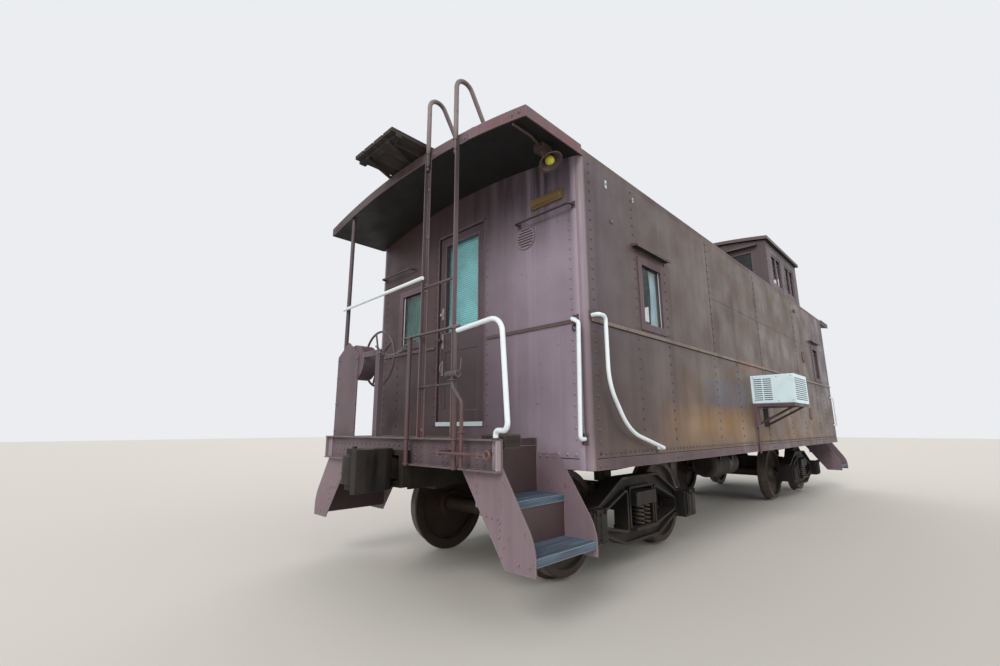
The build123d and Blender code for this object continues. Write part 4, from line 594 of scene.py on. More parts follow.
def new_tree(name, *sizes):
    """A node tree with Geometry in and out, a number for each size, and a Finish."""
    tree = bpy.data.node_groups.new(name, "GeometryNodeTree")
    kinds = [(size, "Int" if size == "Sides" else "Float") for size in sizes]
    for label, kind in [("Geometry", "Geometry"), *kinds, ("Finish", "Material")]:
        tree.interface.new_socket(label, in_out="INPUT", socket_type="NodeSocket" + kind)
    tree.interface.new_socket("Geometry", in_out="OUTPUT", socket_type="NodeSocketGeometry")
    return tree, add(tree, "NodeGroupInput").node.outputs


def spaced(tree, mesh, pitch):
    """Points along every edge of a mesh, a pitch apart."""
    line = add(tree, "GeometryNodeMeshToCurve", mesh)
    return add(tree, "GeometryNodeResampleCurve", {"Curve": line, "Length": pitch}, mode="LENGTH")


def stood_out(tree):
    """The turn that stands a head on the face whose outward side is 'out'."""
    out = add(tree, "GeometryNodeInputNamedAttribute", {"Name": "out"}, data_type="FLOAT_VECTOR")
    return add(tree, "FunctionNodeAlignRotationToVector", {"Vector": out}, axis="Z")


def close_tree(tree, given, points, piece, smooth=True, **turn):
    """Set the piece on every point, make it real, paint it and hand it out."""
    shape = add(tree, "GeometryNodeInstanceOnPoints", {"Points": points, "Instance": piece, **turn})
    shape = add(tree, "GeometryNodeRealizeInstances", shape)
    if smooth:
        shape = add(tree, "GeometryNodeSetShadeSmooth", shape)
    add(tree, "NodeGroupOutput", add(tree, "GeometryNodeSetMaterial", {"Geometry": shape, "Material": given["Finish"]}))
    return tree


def stud_rows_tree():
    """Round heads set along every edge of a mesh."""
    tree, given = new_tree("stud rows", "Pitch", "Radius", "Height", "Sides")
    ball = add(tree, "GeometryNodeMeshUVSphere", {"Segments": given["Sides"], "Rings": 5, "Radius": 1.0})
    size = add(tree, "CombineXYZ", given["Radius"], given["Radius"], given["Height"])
    head = add(tree, "GeometryNodeTransform", {"Geometry": ball, "Scale": size})
    points = spaced(tree, given["Geometry"], given["Pitch"])
    return close_tree(tree, given, points, head, Rotation=stood_out(tree))


def bolt_tree():
    """A hexagon bolt head on a washer at every point."""
    tree, given = new_tree("bolts", "Radius", "Height")
    size = add(tree, "CombineXYZ", given["Radius"], given["Radius"], given["Height"])
    both = add(tree, "GeometryNodeJoinGeometry")
    # sides, then the size and the lift as shares of the head's
    for sides, share, lift in ((6, (1.0, 1.0, 1.0), (0.0, 0.0, 0.5)), (14, (1.45, 1.45, 0.22), (0.0, 0.0, 0.11))):
        drum = add(tree, "GeometryNodeMeshCylinder", {"Vertices": sides, "Radius": 1.0, "Depth": 1.0})
        shaped = add(tree, "GeometryNodeTransform", {
            "Geometry": drum, "Scale": add(tree, "VectorMath", size, share, operation="MULTIPLY"),
            "Translation": add(tree, "VectorMath", size, lift, operation="MULTIPLY")})
        tree.links.new(shaped, both.node.inputs[0])
    return close_tree(tree, given, given["Geometry"], both, smooth=False, Rotation=stood_out(tree))


def chain_tree():
    """Oval links along a path, each turned a quarter from the last."""
    tree, given = new_tree("chain", "Link", "Wire")
    ring = add(tree, "GeometryNodeCurvePrimitiveCircle", {"Resolution": 16, "Radius": 1.0})
    size = add(tree, "VectorMath", (0.32, 0.0, 0.5), {"Scale": given["Link"]}, operation="SCALE")
    upright = add(tree, "GeometryNodeTransform", {"Geometry": ring, "Rotation": (math.pi / 2, 0, 0)})
    oval = add(tree, "GeometryNodeTransform", {"Geometry": upright, "Scale": size})
    wire = add(tree, "GeometryNodeCurvePrimitiveCircle", {"Resolution": 8, "Radius": given["Wire"]})
    link = add(tree, "GeometryNodeCurveToMesh", {"Curve": oval, "Profile Curve": wire})
    along = add(tree, "FunctionNodeAlignRotationToVector", {"Vector": add(tree, "GeometryNodeInputTangent")}, axis="Z")
    odd = add(tree, "Math", add(tree, "GeometryNodeInputIndex"), 2.0, operation="MODULO")
    quarter = add(tree, "VectorMath", (0.0, 0.0, math.pi / 2), {"Scale": odd}, operation="SCALE")
    twist = add(tree, "FunctionNodeEulerToRotation", quarter)
    turn = add(tree, "FunctionNodeRotateRotation", along, twist, rotation_space="LOCAL")
    pitch = add(tree, "Math", given["Link"], 0.74, operation="MULTIPLY")
    return close_tree(tree, given, spaced(tree, given["Geometry"], pitch), link, Rotation=turn)


def coil_tree():
    """A helical spring standing on every point."""
    tree, given = new_tree("coils", "Radius", "Height", "Wire", "Turns")
    spiral = add(tree, "GeometryNodeCurveSpiral", {
        "Resolution": 20, "Rotations": given["Turns"], "Start Radius": given["Radius"], "End Radius": given["Radius"],
        "Height": given["Height"]})
    wire = add(tree, "GeometryNodeCurvePrimitiveCircle", {"Resolution": 10, "Radius": given["Wire"]})
    coil = add(tree, "GeometryNodeCurveToMesh", {"Curve": spiral, "Profile Curve": wire, "Fill Caps": True})
    return close_tree(tree, given, given["Geometry"], coil)


def slat_tree():
    """Thin slats hung one above another along a line, each bowed across its width and leaning a little."""
    tree, given = new_tree("slats", "Pitch", "Width", "Length", "Thick", "Bow", "Lean")
    size = add(tree, "CombineXYZ", given["Thick"], given["Length"], given["Width"])
    strip = add(tree, "GeometryNodeMeshCube", {"Size": size, "Vertices Z": 6})
    up = add(tree, "SeparateXYZ", add(tree, "GeometryNodeInputPosition"), outlet="Z")
    share = add(tree, "Math", up, given["Width"], operation="DIVIDE")
    square = add(tree, "Math", share, share, operation="MULTIPLY")
    arch = add(tree, "Math", square, -4.0, 1.0, operation="MULTIPLY_ADD")
    bowed = add(tree, "Math", arch, given["Bow"], operation="MULTIPLY")
    out = add(tree, "Math", share, given["Lean"], bowed, operation="MULTIPLY_ADD")
    bent = add(tree, "GeometryNodeSetPosition", {"Geometry": strip, "Offset": add(tree, "CombineXYZ", out)})
    return close_tree(tree, given, spaced(tree, given["Geometry"], given["Pitch"]), bent)


STUD_ROWS = stud_rows_tree()
SLATS = slat_tree()
BOLTS = bolt_tree()
CHAIN = chain_tree()
COILS = coil_tree()


def grown(name, tree, points, edges, finish, body, slot, outward=(), **sizes):
    """What a tree makes on points and edges, as a plain mesh. Its sizes go in by name, and outward is the
    way that the face at each point looks."""
    holder = open_mesh(name + "_line", points, edges)
    if outward:
        field = holder.data.attributes.new("out", "FLOAT_VECTOR", "POINT")
        for entry, out in zip(field.data, outward):
            entry.vector = out
    sizes["Finish"] = FINISH[finish]
    modifier = holder.modifiers.new("rows", "NODES")
    modifier.node_group = tree
    for item in tree.interface.items_tree:
        if item.in_out == "INPUT" and item.name in sizes:
            modifier[item.identifier] = sizes[item.name]
    return dressed(settled(holder, name), None, body)


def studs(name, rows, pitch, radius, height, finish, slot="body_paint", sides=8):
    """Rivet heads along each row: (start, end, outward direction)."""
    points = [point for start, end, out in rows for point in (start, end)]
    outward = [out for start, end, out in rows for point in (start, end)]
    edges = [(i, i + 1) for i in range(0, len(points), 2)]
    grown(name, STUD_ROWS, points, edges, finish, "carbody", slot, outward,
          Pitch=pitch, Radius=radius, Height=height, Sides=sides)


def bolts(name, places, radius, height, finish, body="carbody", slot="frame_paint"):
    """A bolt head at each place: (point, outward direction)."""
    grown(name, BOLTS, [at for at, out in places], [], finish, body, slot, [out for at, out in places],
          Radius=radius, Height=height)


def slabs(name, boxes, finish, body="carbody", edge=0.002):
    """Flat bars and plates with rounded edges: (one corner, the opposite one)."""
    shape = bmesh.new()
    for corners in boxes:
        low, high = ([pick(pair) for pair in zip(*corners)] for pick in (min, max))
        size = [b - a for a, b in zip(low, high)]
        cube = bmesh.ops.create_cube(shape, size=1.0)["verts"]
        bmesh.ops.scale(shape, vec=size, verts=cube)
        bmesh.ops.translate(shape, vec=[(a + b) / 2 for a, b in zip(low, high)], verts=cube)
        edges = {e for v in cube for e in v.link_edges}
        bmesh.ops.bevel(shape, geom=list(edges), offset=min(edge, 0.3 * min(size)), segments=2, affect="EDGES")
    mesh = bpy.data.meshes.new(name)
    shape.to_mesh(mesh)
    shape.free()
    dressed(linked(bpy.data.objects.new(name, mesh)), finish, body)


def tubes(name, paths, radius, finish, body="carbody", bend=True, closed=False):
    """Round bars along points, with the corners swept round unless bend is off, or closed to a ring."""
    curve = bpy.data.curves.new(name, "CURVE")
    curve.dimensions = "3D"
    curve.bevel_depth = radius
    curve.bevel_resolution = 3
    curve.resolution_u = 8
    curve.use_fill_caps = True
    for path in paths:
        spline = curve.splines.new("NURBS" if bend and len(path) > 2 else "POLY")
        spline.points.add(len(path) - 1)
        for point, at in zip(spline.points, path):
            point.co = (*at, 1.0)
        spline.use_cyclic_u = closed
        if spline.type == "NURBS":
            spline.order_u = 3
            spline.use_endpoint_u = True
    made = settled(linked(bpy.data.objects.new(name + "_line", curve)), name)
    made.data.polygons.foreach_set("use_smooth", [True] * len(made.data.polygons))
    dressed(made, finish, body)


def rounded(start, corner, end, radius, count=10):
    """The path of a bent bar: two straight runs and the round bend between them."""
    start, corner, end = Vector(start), Vector(corner), Vector(end)
    back, on = (start - corner).normalized(), (end - corner).normalized()
    half = back.angle(on) / 2
    centre = corner + (back + on).normalized() * radius / math.sin(half)
    first, last = (corner + way * radius / math.tan(half) - centre for way in (back, on))
    swing = math.pi - 2 * half
    bend = [centre + (first * math.sin(swing * (1 - i / count)) + last * math.sin(swing * i / count)) / math.sin(swing)
            for i in range(count + 1)]
    return tuple(tuple(p) for p in [start] + bend + [end])


def circle(centre, axis, radius, count, rise=0.0):
    """Points round an axis, raised along it."""
    way = Vector(axis).to_track_quat("Z", "Y").to_matrix()
    return [tuple(Vector(centre) + way @ Vector((radius * math.cos(a), radius * math.sin(a), rise)))
            for a in (i * math.tau / count for i in range(count))]


def rings(name, places, radius, wire, finish, body="carbody"):
    """Round bands: (centre, axis direction)."""
    tubes(name, [circle(centre, axis, radius, 16) for centre, axis in places], wire, finish, body,
          bend=False, closed=True)


def lathe(name, profile, base, axis, finish, sides=20, ring=False):
    """A turned shape: (radius, distance along the axis) from the base, closed at its ends or round to a ring."""
    points = [point for radius, rise in profile for point in circle(base, axis, radius, sides, rise)]
    faces = []
    for j in range(len(profile) - (0 if ring else 1)):
        for i in range(sides):
            k, up = (i + 1) % sides, (j + 1) % len(profile)
            faces.append((j * sides + i, j * sides + k, up * sides + k, up * sides + i))
    if not ring:
        faces += [tuple(range(sides))[::-1], tuple(range(len(points) - sides, len(points)))]
    dressed(open_mesh(name, points, [], faces), finish)


# Rivets and laps of the body sheets

TOP = EAVE - 0.035
BOTTOM_ROW = RAIL + 1.000
LIP_ROW = SKIN_LOW + 0.030
UNDER_BELT = BELT - 0.050
OVER_BELT = BELT + 0.050
UNDER_CAP = RAIL + 2.690
OVER_CAP = RAIL + 2.830

# rivet columns on the side: distance from the end wall, low z, high z
SIDE_COLUMNS = (
    (0.100, BOTTOM_ROW, TOP),
    (0.755, BOTTOM_ROW, UNDER_BELT),
    (0.755, OVER_BELT, UNDER_CAP),
    (0.755, OVER_CAP, TOP),
    (1.325, BOTTOM_ROW, UNDER_BELT),
    (1.325, OVER_BELT, UNDER_CAP),
    (2.405, BOTTOM_ROW, UNDER_BELT),
    (2.450, OVER_BELT, TOP),
    (3.100, BOTTOM_ROW, UNDER_BELT),
    (4.110, BOTTOM_ROW, UNDER_BELT),
    (4.125, OVER_BELT, TOP),
    (5.290, BOTTOM_ROW, UNDER_BELT),
    (6.090, OVER_BELT, TOP),
    (6.105, BOTTOM_ROW, UNDER_BELT),
    (7.185, BOTTOM_ROW, UNDER_BELT),
    (7.185, OVER_BELT, UNDER_CAP),
    (7.755, BOTTOM_ROW, UNDER_BELT),
    (7.755, OVER_BELT, UNDER_CAP),
    (7.755, OVER_CAP, TOP),
    (8.410, BOTTOM_ROW, TOP),
)
side_rows = [((WALL + d, FACE, low), (WALL + d, FACE, high), RIGHT) for d, low, high in SIDE_COLUMNS]
studs("side_rivets", spread(side_rows, turned), 0.077, 0.0130, 0.0075, "rivet")
bottom_row = [((WALL + 0.10, FACE, BOTTOM_ROW), (HALF_L - 0.10, FACE, BOTTOM_ROW), RIGHT)]
studs("bottom_rivets", spread(bottom_row, turned), 0.068, 0.0130, 0.0075, "rivet")
lip_pairs = [((x, FACE - 0.005, LIP_ROW), (x + 0.068, FACE - 0.005, LIP_ROW), RIGHT)
             for x in (WALL + 0.08, WALL + 1.317, WALL + 2.950, 0.0, HALF_L - 2.950, HALF_L - 1.317)]
studs("lip_rivets", spread(lip_pairs, turned), 0.068, 0.0120, 0.007, "rivet")
belt_rows = [((WALL + 0.08, FACE - BELT_OUT, BELT), (WALL + 2.40, FACE - BELT_OUT, BELT), RIGHT)]
studs("belt_rivets", spread(belt_rows, turned), 0.052, 0.0075, 0.004, "belt")

# laps of the side sheets: distance from the end wall, low z, high z
LAPS = (
    (2.425, BELT + BELT_HALF, TOP + 0.03),
    (4.100, BELT + BELT_HALF, TOP + 0.03),
    (4.095, SKIN_LOW + 0.08, BELT - BELT_HALF),
    (6.075, BELT + BELT_HALF, TOP + 0.03),
)
# dark strips along the laps and under the belt: a painted shadow line
lap_bars = [((WALL + d - 0.003, FACE - 0.0016, low), (WALL + d + 0.003, FACE, high)) for d, low, high in LAPS]
for z in (BELT - BELT_HALF - 0.004, SKIN_LOW + 0.078):
    lap_bars.append(((WALL + 0.06, FACE - 0.0022, z - 0.003), (HALF_L - 0.06, FACE, z + 0.003)))
lap_bars.append(((WALL + 2.43, FACE - 0.0012, RAIL + 2.600), (HALF_L - 0.06, FACE, RAIL + 2.603)))
slabs("sheet_laps", spread(lap_bars, turned), "seam")

# rivet columns on the end: y, low and high z above the rail
END_COLUMNS = (
    (-1.290, 1.10, 2.76), (1.290, 1.10, 2.76), (-0.375, 1.20, 1.90), (0.375, 1.20, 1.90),
    (-0.375, 2.02, 3.10), (0.375, 2.02, 3.10), (0.530, 1.20, 1.90), (1.030, 1.20, 1.90),
)
end_rows = [((WALL, y, RAIL + low), (WALL, y, RAIL + high), NEAR) for y, low, high in END_COLUMNS]
studs("end_rivets", spread(end_rows, turned), 0.078, 0.0115, 0.0065, "end")
foot_rows = [((WALL, a, RAIL + 0.992), (WALL, b, RAIL + 0.992), NEAR) for a, b in ((-1.285, -0.82), (0.82, 1.285))]
studs("end_foot_rivets", spread(foot_rows, turned), 0.077, 0.014, 0.009, "end")
# a dark strip along the end sheets' foot lap: a painted shadow line
foot_laps = [((WALL - 0.0025, a, RAIL + 0.961), (WALL, b, RAIL + 0.967)) for a, b in ((-1.31, -0.70), (0.70, 1.31))]
slabs("end_laps", spread(foot_laps, turned), "seam")

# small fittings on the side: distance from the end wall, z above the rail, half width, half height
FITTINGS = (
    (0.345, 3.144, 0.012, 0.036, "pale_strip"),
    (0.407, 2.834, 0.024, 0.015, "dark_trim"),
    (0.792, 3.166, 0.010, 0.022, "pale_strip"),
)
for number, (d, z, wide, tall, finish) in enumerate(FITTINGS):
    plate = [((WALL + d - wide, FACE - 0.006, RAIL + z - tall), (WALL + d + wide, FACE, RAIL + z + tall))]
    slabs(f"side_fitting_{number}", spread(plate, turned), finish)
fitting_bolts = [((WALL + d, FACE - 0.006, RAIL + z), RIGHT) for d, z, *rest in FITTINGS]
bolts("side_fitting_bolts", spread(fitting_bolts, turned), 0.007, 0.006, "zinc")


# Platform ends

sill_rows = [((SILL, -1.15, RAIL + 1.045), (SILL, 1.15, RAIL + 1.045), NEAR)]
studs("sill_rivets", spread(sill_rows, turned), 0.074, 0.012, 0.008, "frame", "frame_paint")
PAIRS = (0.270, 0.340, 0.596, 0.648, 0.729, 0.872, 0.949, 1.022)
pair_rows = [((SILL, y, RAIL + 0.946), (SILL, y, RAIL + 0.981), NEAR) for y in PAIRS]
studs("sill_pair_rivets", spread(pair_rows, turned, flipped), 0.034, 0.010, 0.007, "frame", "frame_paint")
corner_plates = [((SILL - 0.008, 1.105, RAIL + 0.916), (SILL, 1.171, RAIL + 1.096)),
                 ((SILL - 0.040, 1.165, RAIL + 0.916), (SILL, 1.173, RAIL + 1.096))]
slabs("sill_corner_angles", spread(corner_plates, turned, flipped), "pale_trim")

# step plate rivets: y and z above the rail, on the outer plate's face
STEP_RIVETS = (
    (0.932, 0.811), (0.932, 0.768), (0.977, 0.639), (1.025, 0.634), (1.077, 0.630), (1.128, 0.630),
    (1.146, 0.609), (1.143, 0.569), (1.140, 0.525), (1.385, 0.400), (1.300, 0.400),
)
step_rows = [((STEP_FACE, y, RAIL + z), (STEP_FACE, y, RAIL + z + 0.001), NEAR) for y, z in STEP_RIVETS]
studs("step_rivets", spread(step_rows, turned, flipped), 0.02, 0.0105, 0.0065, "riser", "frame_paint")
plate_row = [((WALL - 0.008, -1.095, RAIL + 0.972), (WALL - 0.008, -0.830, RAIL + 0.972), NEAR)]
studs("step_plate_rivets", spread(plate_row, turned, flipped), 0.066, 0.013, 0.008, "riser", "frame_paint")

block = [((-4.840, -1.150, RAIL + 1.046), (-4.678, -0.930, RAIL + 1.136))]
slabs("wood_block", block, "walk", edge=0.006)
edge_boards = [((SILL + 0.03, -0.928, DECK - 0.060), (WALL - 0.010, -0.915, DECK))]
slabs("deck_edge_boards", spread(edge_boards, turned, flipped), "riser")
nail_rows = [((SILL + 0.023 + off, y, DECK), (WALL - 0.03, y, DECK), UP)
             for off in (0.028, 0.090) for y in (-0.87, -0.45, 0.45, 0.87)]
studs("deck_nails", spread(nail_rows, turned), 0.124, 0.0045, 0.0015, "zinc", "old_wood", sides=6)

# plates that clip the ladder to the roof's edge: y, z above the rail
FASCIA_X = SILL - 0.010
STILE_X = FASCIA_X - 0.006
PIPE_X = STILE_X - 0.016
CLIPS = ((-0.412, 3.422), (-0.789, 3.386))
clip_plates = [((STILE_X, y - 0.040, RAIL + z - 0.030), (FASCIA_X, y + 0.036, RAIL + z + 0.026)) for y, z in CLIPS]
clip_plates += [((FASCIA_X - 0.010, y - 0.019, RAIL + 3.250), (FASCIA_X, y + 0.019, RAIL + 3.266)) for y in LADDER_Y]
slabs("ladder_clips", spread(clip_plates, turned), "ladder")
clip_bolts = [((STILE_X, y - 0.014, RAIL + z), NEAR) for y, z in CLIPS]
clip_bolts += [((STILE_X, y, RAIL + z), NEAR) for y in LADDER_Y for z in (1.16, 2.245, 2.295, 2.70, 3.12, 3.40)]
clip_bolts += [((FASCIA_X, y, RAIL + z), NEAR)
               for y, z in ((-1.303, 3.327), (-1.366, 3.318), (1.303, 3.327), (1.366, 3.318))]
bolts("ladder_bolts", spread(clip_bolts, turned), 0.010, 0.009, "ladder")
bands = [((PIPE_X, LADDER_Y[i], RAIL + z), UP) for i, z in ((0, 3.437), (1, 3.404), (0, 3.320), (1, 3.320))]
rings("ladder_bands", spread(bands, turned), 0.018, 0.0045, "black")
arches = [rounded((PIPE_X, y, RAIL + 3.340), (PIPE_X, y, RAIL + 4.203), (PIPE_X + 0.470, y, roof_top(y) - 0.012),
                  0.088) for y in LADDER_Y]
tubes("ladder_arches", spread(arches, turned), 0.0195, "ladder", bend=False)

# Railing, valve and chain
BAR_X = SILL - 0.061
AIR_X = BAR_X - 0.031
bar_bolts = [((BAR_X, y, BAR_TOP), UP) for y in (*POST_Y, -0.822, -0.770, *LADDER_Y)]
bolts("bar_bolts", spread(bar_bolts, turned), 0.010, 0.010, "ladder")
collars = [((BAR_X, y, z), UP) for y in POST_Y for z in (RAIL + 1.100, RAIL + 0.918, BAR_TOP - 0.016)]
collars += [((AIR_X, y, RAIL + z), way) for y, z, way in (
    (-0.760, 1.540, LEFT), (-0.845, 1.540, LEFT), (-0.800, 1.500, UP), (-0.900, 1.150, UP))]
rings("pipe_collars", spread(collars, turned), 0.018, 0.006, "ladder")
# the valve's handle: distance out from the pipe, y, z above the rail
HANDLE = ((0.004, -0.862, 1.540), (0.010, -0.885, 1.545), (0.012, -0.900, 1.580), (0.012, -0.905, 1.640))
handle = [tuple((AIR_X - out, y, RAIL + z) for out, y, z in HANDLE)]
tubes("valve_handles", spread(handle, turned), 0.0065, "ladder")
# the chain's line: y, z
SAG = ((0.390, 1.919), (0.290, 1.846), (0.174, 1.812), (0.085, 1.813), (0.0, 1.836), (-0.100, 1.876), (-0.182, 1.898))
for end, points in zip(ENDS, spread([tuple((SILL + 0.006, y, z) for y, z in SAG)], turned)):
    links = [(i, i + 1) for i in range(len(points) - 1)]
    grown("safety_chain_" + end, CHAIN, points, links, "chain", "carbody", "cast_black", Link=0.034, Wire=0.0042)
hooks = [((SILL + 0.006, -0.182, RAIL + 1.870), (SILL - 0.020, -0.186, RAIL + 1.884),
          (BAR_X + 0.030, -0.190, BAR_TOP + 0.004))]
tubes("chain_hooks", spread(hooks, turned), 0.005, "zinc")

# Brake housing
brake_bolts = [((SILL + 0.001, y, DECK + z), NEAR) for y in (0.735, 1.085) for z in (0.05, 0.30, 0.55, 0.72)]
brake_bolts += [((SILL + 0.001, 0.360, DECK + z), NEAR) for z in (0.05, 0.72)]
bolts("brake_bolts", spread(brake_bolts, turned), 0.011, 0.009, "frame")

# Brackets of the pipes: point on the wall, outward; those over HIGH_GRABS hold the level grabs and are smaller
HIGH_GRABS = RAIL + 2.8
BRACKETS = (
    ((WALL, FACE + 0.099, RAIL + 1.957), NEAR), ((WALL, FACE + 0.055, RAIL + 1.100), NEAR),
    ((WALL + 0.055, FACE, RAIL + 1.984), RIGHT), ((WALL + 0.950, FACE, RAIL + 1.012), RIGHT),
    ((WALL + 0.200, HALF_W, RAIL + 1.735), LEFT), ((WALL + 0.200, HALF_W, RAIL + 1.215), LEFT),
    ((WALL, -1.337, RAIL + 2.870), NEAR), ((WALL, -0.776, RAIL + 2.870), NEAR),
    ((WALL, 1.337, RAIL + 2.870), NEAR), ((WALL, 0.776, RAIL + 2.870), NEAR),
)
plates, plate_bolts = [], []
for at, out in BRACKETS:
    shrink = 0.7 if at[2] > HIGH_GRABS else 1.0
    half = [0.0 if o else 0.028 * shrink for o in out[:2]] + [0.040 * shrink]
    plates.append((tuple(a - h for a, h in zip(at, half)), tuple(a + h + 0.005 * o for a, h, o in zip(at, half, out))))
    for lift in (-0.7 * half[2], 0.7 * half[2]):
        plate_bolts.append(((at[0] + 0.005 * out[0], at[1] + 0.005 * out[1], at[2] + lift), out))
slabs("grab_plates", spread(plates, turned), "dark_trim")
bolts("grab_bolts", spread(plate_bolts, turned), 0.007, 0.006, "dark_trim")
ring_at = (WALL - 0.012, FACE + 0.110, RAIL + 1.895)
rings("grab_rings", spread([(ring_at, RIGHT)], turned), 0.020, 0.0045, "black")
flanges = [((SILL - 0.022, -1.150, DECK + 0.004), UP)]
rings("rail_flanges", spread(flanges, turned), 0.024, 0.006, "dark_trim")


# Doors

LEAF_X = WALL + 0.016
PANE_LOW, PANE_HIGH = PANE[0][2], PANE[1][2]
BLIND_LOW, BLIND_HIGH = PANE_LOW - 0.010, PANE_HIGH + 0.020
SLAT = 0.0205
# beads round the pane: y from, y to, z from, z to
BEADS = (
    (-0.252, -0.235, PANE_LOW - 0.016, PANE_HIGH + 0.016), (0.235, 0.252, PANE_LOW - 0.016, PANE_HIGH + 0.016),
    (-0.235, 0.235, PANE_LOW - 0.016, PANE_LOW), (-0.235, 0.235, PANE_HIGH, PANE_HIGH + 0.016),
)
beads = [((LEAF_X - 0.004, a, low), (LEAF_X, b, high)) for a, b, low, high in BEADS]
beads.append(((LEAF_X - 0.003, 0.296, RAIL + 1.24), (LEAF_X, 0.304, RAIL + 3.05)))
latch = [((LEAF_X - 0.006, 0.256, RAIL + low), (LEAF_X, 0.286, RAIL + high))
         for low, high in ((2.220, 2.340), (1.930, 2.080), (1.670, 1.810))]
latch.append(((LEAF_X - 0.014, 0.262, RAIL + 2.262), (LEAF_X - 0.005, 0.312, RAIL + 2.290)))
pulls = [((LEAF_X, 0.270, RAIL + 1.690), (LEAF_X - 0.030, 0.270, RAIL + 1.690),
          (LEAF_X - 0.030, 0.270, RAIL + 1.790), (LEAF_X, 0.270, RAIL + 1.790))]
screws = [((LEAF_X - 0.006, y, RAIL + z), NEAR) for y in (0.263, 0.279) for z in (2.232, 2.328, 1.940, 2.070, 1.797)]
string = [((LEAF_X + 0.052, 0.0, BLIND_LOW + 0.010), (LEAF_X + 0.052, 0.0, BLIND_HIGH - 0.010))]
rails = [((LEAF_X + 0.046, -0.250, BLIND_HIGH + 0.004), (LEAF_X + 0.066, 0.250, BLIND_HIGH + 0.026)),
         ((LEAF_X + 0.048, -0.248, BLIND_LOW - 0.014), (LEAF_X + 0.060, 0.248, BLIND_LOW - 0.002))]
tapes = [((LEAF_X + 0.051, y, BLIND_LOW), (LEAF_X + 0.051, y, BLIND_HIGH)) for y in (-0.17, 0.17)]
for end, move, way in (("near", tuple, -1), ("far", turned, 1)):
    body = "door_" + end
    slabs("door_beads_" + end, moved(beads, move), "trim", body)
    slabs("door_latches_" + end, moved(latch, move), "zinc", body)
    tubes("door_pulls_" + end, moved(pulls, move), 0.0055, "zinc", body)
    bolts("door_screws_" + end, moved(screws, move), 0.004, 0.003, "zinc", body, "cast_black")
    grown("door_blind_" + end, SLATS, moved(string, move)[0], [(0, 1)], "blind", body, "trim_paint",
          Pitch=SLAT, Width=SLAT, Length=0.492, Thick=0.0006, Bow=0.002 * way, Lean=-0.005 * way)
    slabs("door_blind_rails_" + end, moved(rails, move), "blind", body)
    tubes("door_blind_tapes_" + end, moved(tapes, move), 0.0012, "pale_strip", body)

# Doorway edges, threshold and window edges
doorway = [((WALL - 0.005, a, RAIL + 1.236), (WALL, b, RAIL + 3.093)) for a, b in ((-0.348, -0.332), (0.332, 0.348))]
doorway.append(((WALL - 0.005, -0.348, RAIL + 3.077), (WALL, 0.348, RAIL + 3.093)))
slabs("doorway_edges", spread(doorway, turned), "trim")
threshold = [((WALL - 0.0098, -0.327, RAIL + 1.193), (WALL - 0.0080, 0.327, RAIL + 1.231))]
slabs("threshold_strips", spread(threshold, turned), "pale_strip", edge=0.0006)
STRIP_LOW, STRIP_HIGH = WINDOW_LOW + 0.024, WINDOW_HIGH - 0.024
strips = [((WALL + 0.0095, 0.942, STRIP_LOW), (WALL + 0.012, 0.956, STRIP_HIGH))]
for sign in (-1, 1):
    edge = sign * (WINDOW_X - 0.176)
    strips.append(((edge, FACE + 0.0095, STRIP_LOW), (edge + sign * 0.013, FACE + 0.012, STRIP_HIGH)))
slabs("window_strips", spread(strips, turned), "pale_strip", edge=0.0006)


# Curtains

HEM = 0.004
ROWS = 14
FOLD_STEPS = 12
INSIDE = 0.044


def curtain(name, start, along, inward, width, narrow, folds, finish):
    """A gathered curtain: folds across its width, hanging from a rod, drawn in a little halfway down."""
    across = FOLD_STEPS * folds
    points, faces = [], []
    high, low = WINDOW_HIGH - HEM, WINDOW_LOW + HEM
    for j in range(ROWS + 1):
        t = j / ROWS
        draw = 1 - narrow * math.sin(math.pi * min(t * 1.25, 1.0))
        for i in range(across + 1):
            s = i / across
            wave = math.sin(s * folds * math.tau) + 0.35 * math.sin(s * folds * 1.7 * math.tau + 2.0 + 1.5 * t)
            depth = 0.006 + 0.0045 * wave * (0.55 + 0.45 * t)
            sway = s * width * draw + 0.002 * math.sin(7 * s + 4 * t)
            points.append((start[0] + along[0] * sway + inward[0] * depth,
                           start[1] + along[1] * sway + inward[1] * depth, high + (low - high) * t))
    row = across + 1
    for j in range(ROWS):
        faces += [(j * row + i, j * row + i + 1, (j + 1) * row + i + 1, (j + 1) * row + i) for i in range(across)]
    made = dressed(open_mesh(name, points, [], faces), finish)
    return made


for end, sign in (("near", -1), ("far", 1)):
    at = (sign * (HALF_L - INSIDE), -sign * 0.965)
    curtain("curtain_end_" + end, at, (0, sign), (-sign, 0), 0.37, 0.0, 7, "teal_cloth")
    for place, toward in (("a", -1), ("b", 1)):
        at = (toward * (WINDOW_X - 0.190), sign * (HALF_W - INSIDE))
        curtain(f"curtain_{end}_{place}", at, (toward, 0), (0, -sign), 0.14, 0.15, 4, "pale_cloth")
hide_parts("window_blinds")
ROD_Z = WINDOW_HIGH - 0.008
ROD_IN = INSIDE + 0.012
rods = [((WALL + ROD_IN, 0.585, ROD_Z), (WALL + ROD_IN, 0.975, ROD_Z))]
rods += [((s * WINDOW_X - 0.195, FACE + ROD_IN, ROD_Z), (s * WINDOW_X + 0.195, FACE + ROD_IN, ROD_Z)) for s in (-1, 1)]
tubes("curtain_rods", spread(rods, turned), 0.004, "zinc")


# Lamp, vents, sign and air conditioner

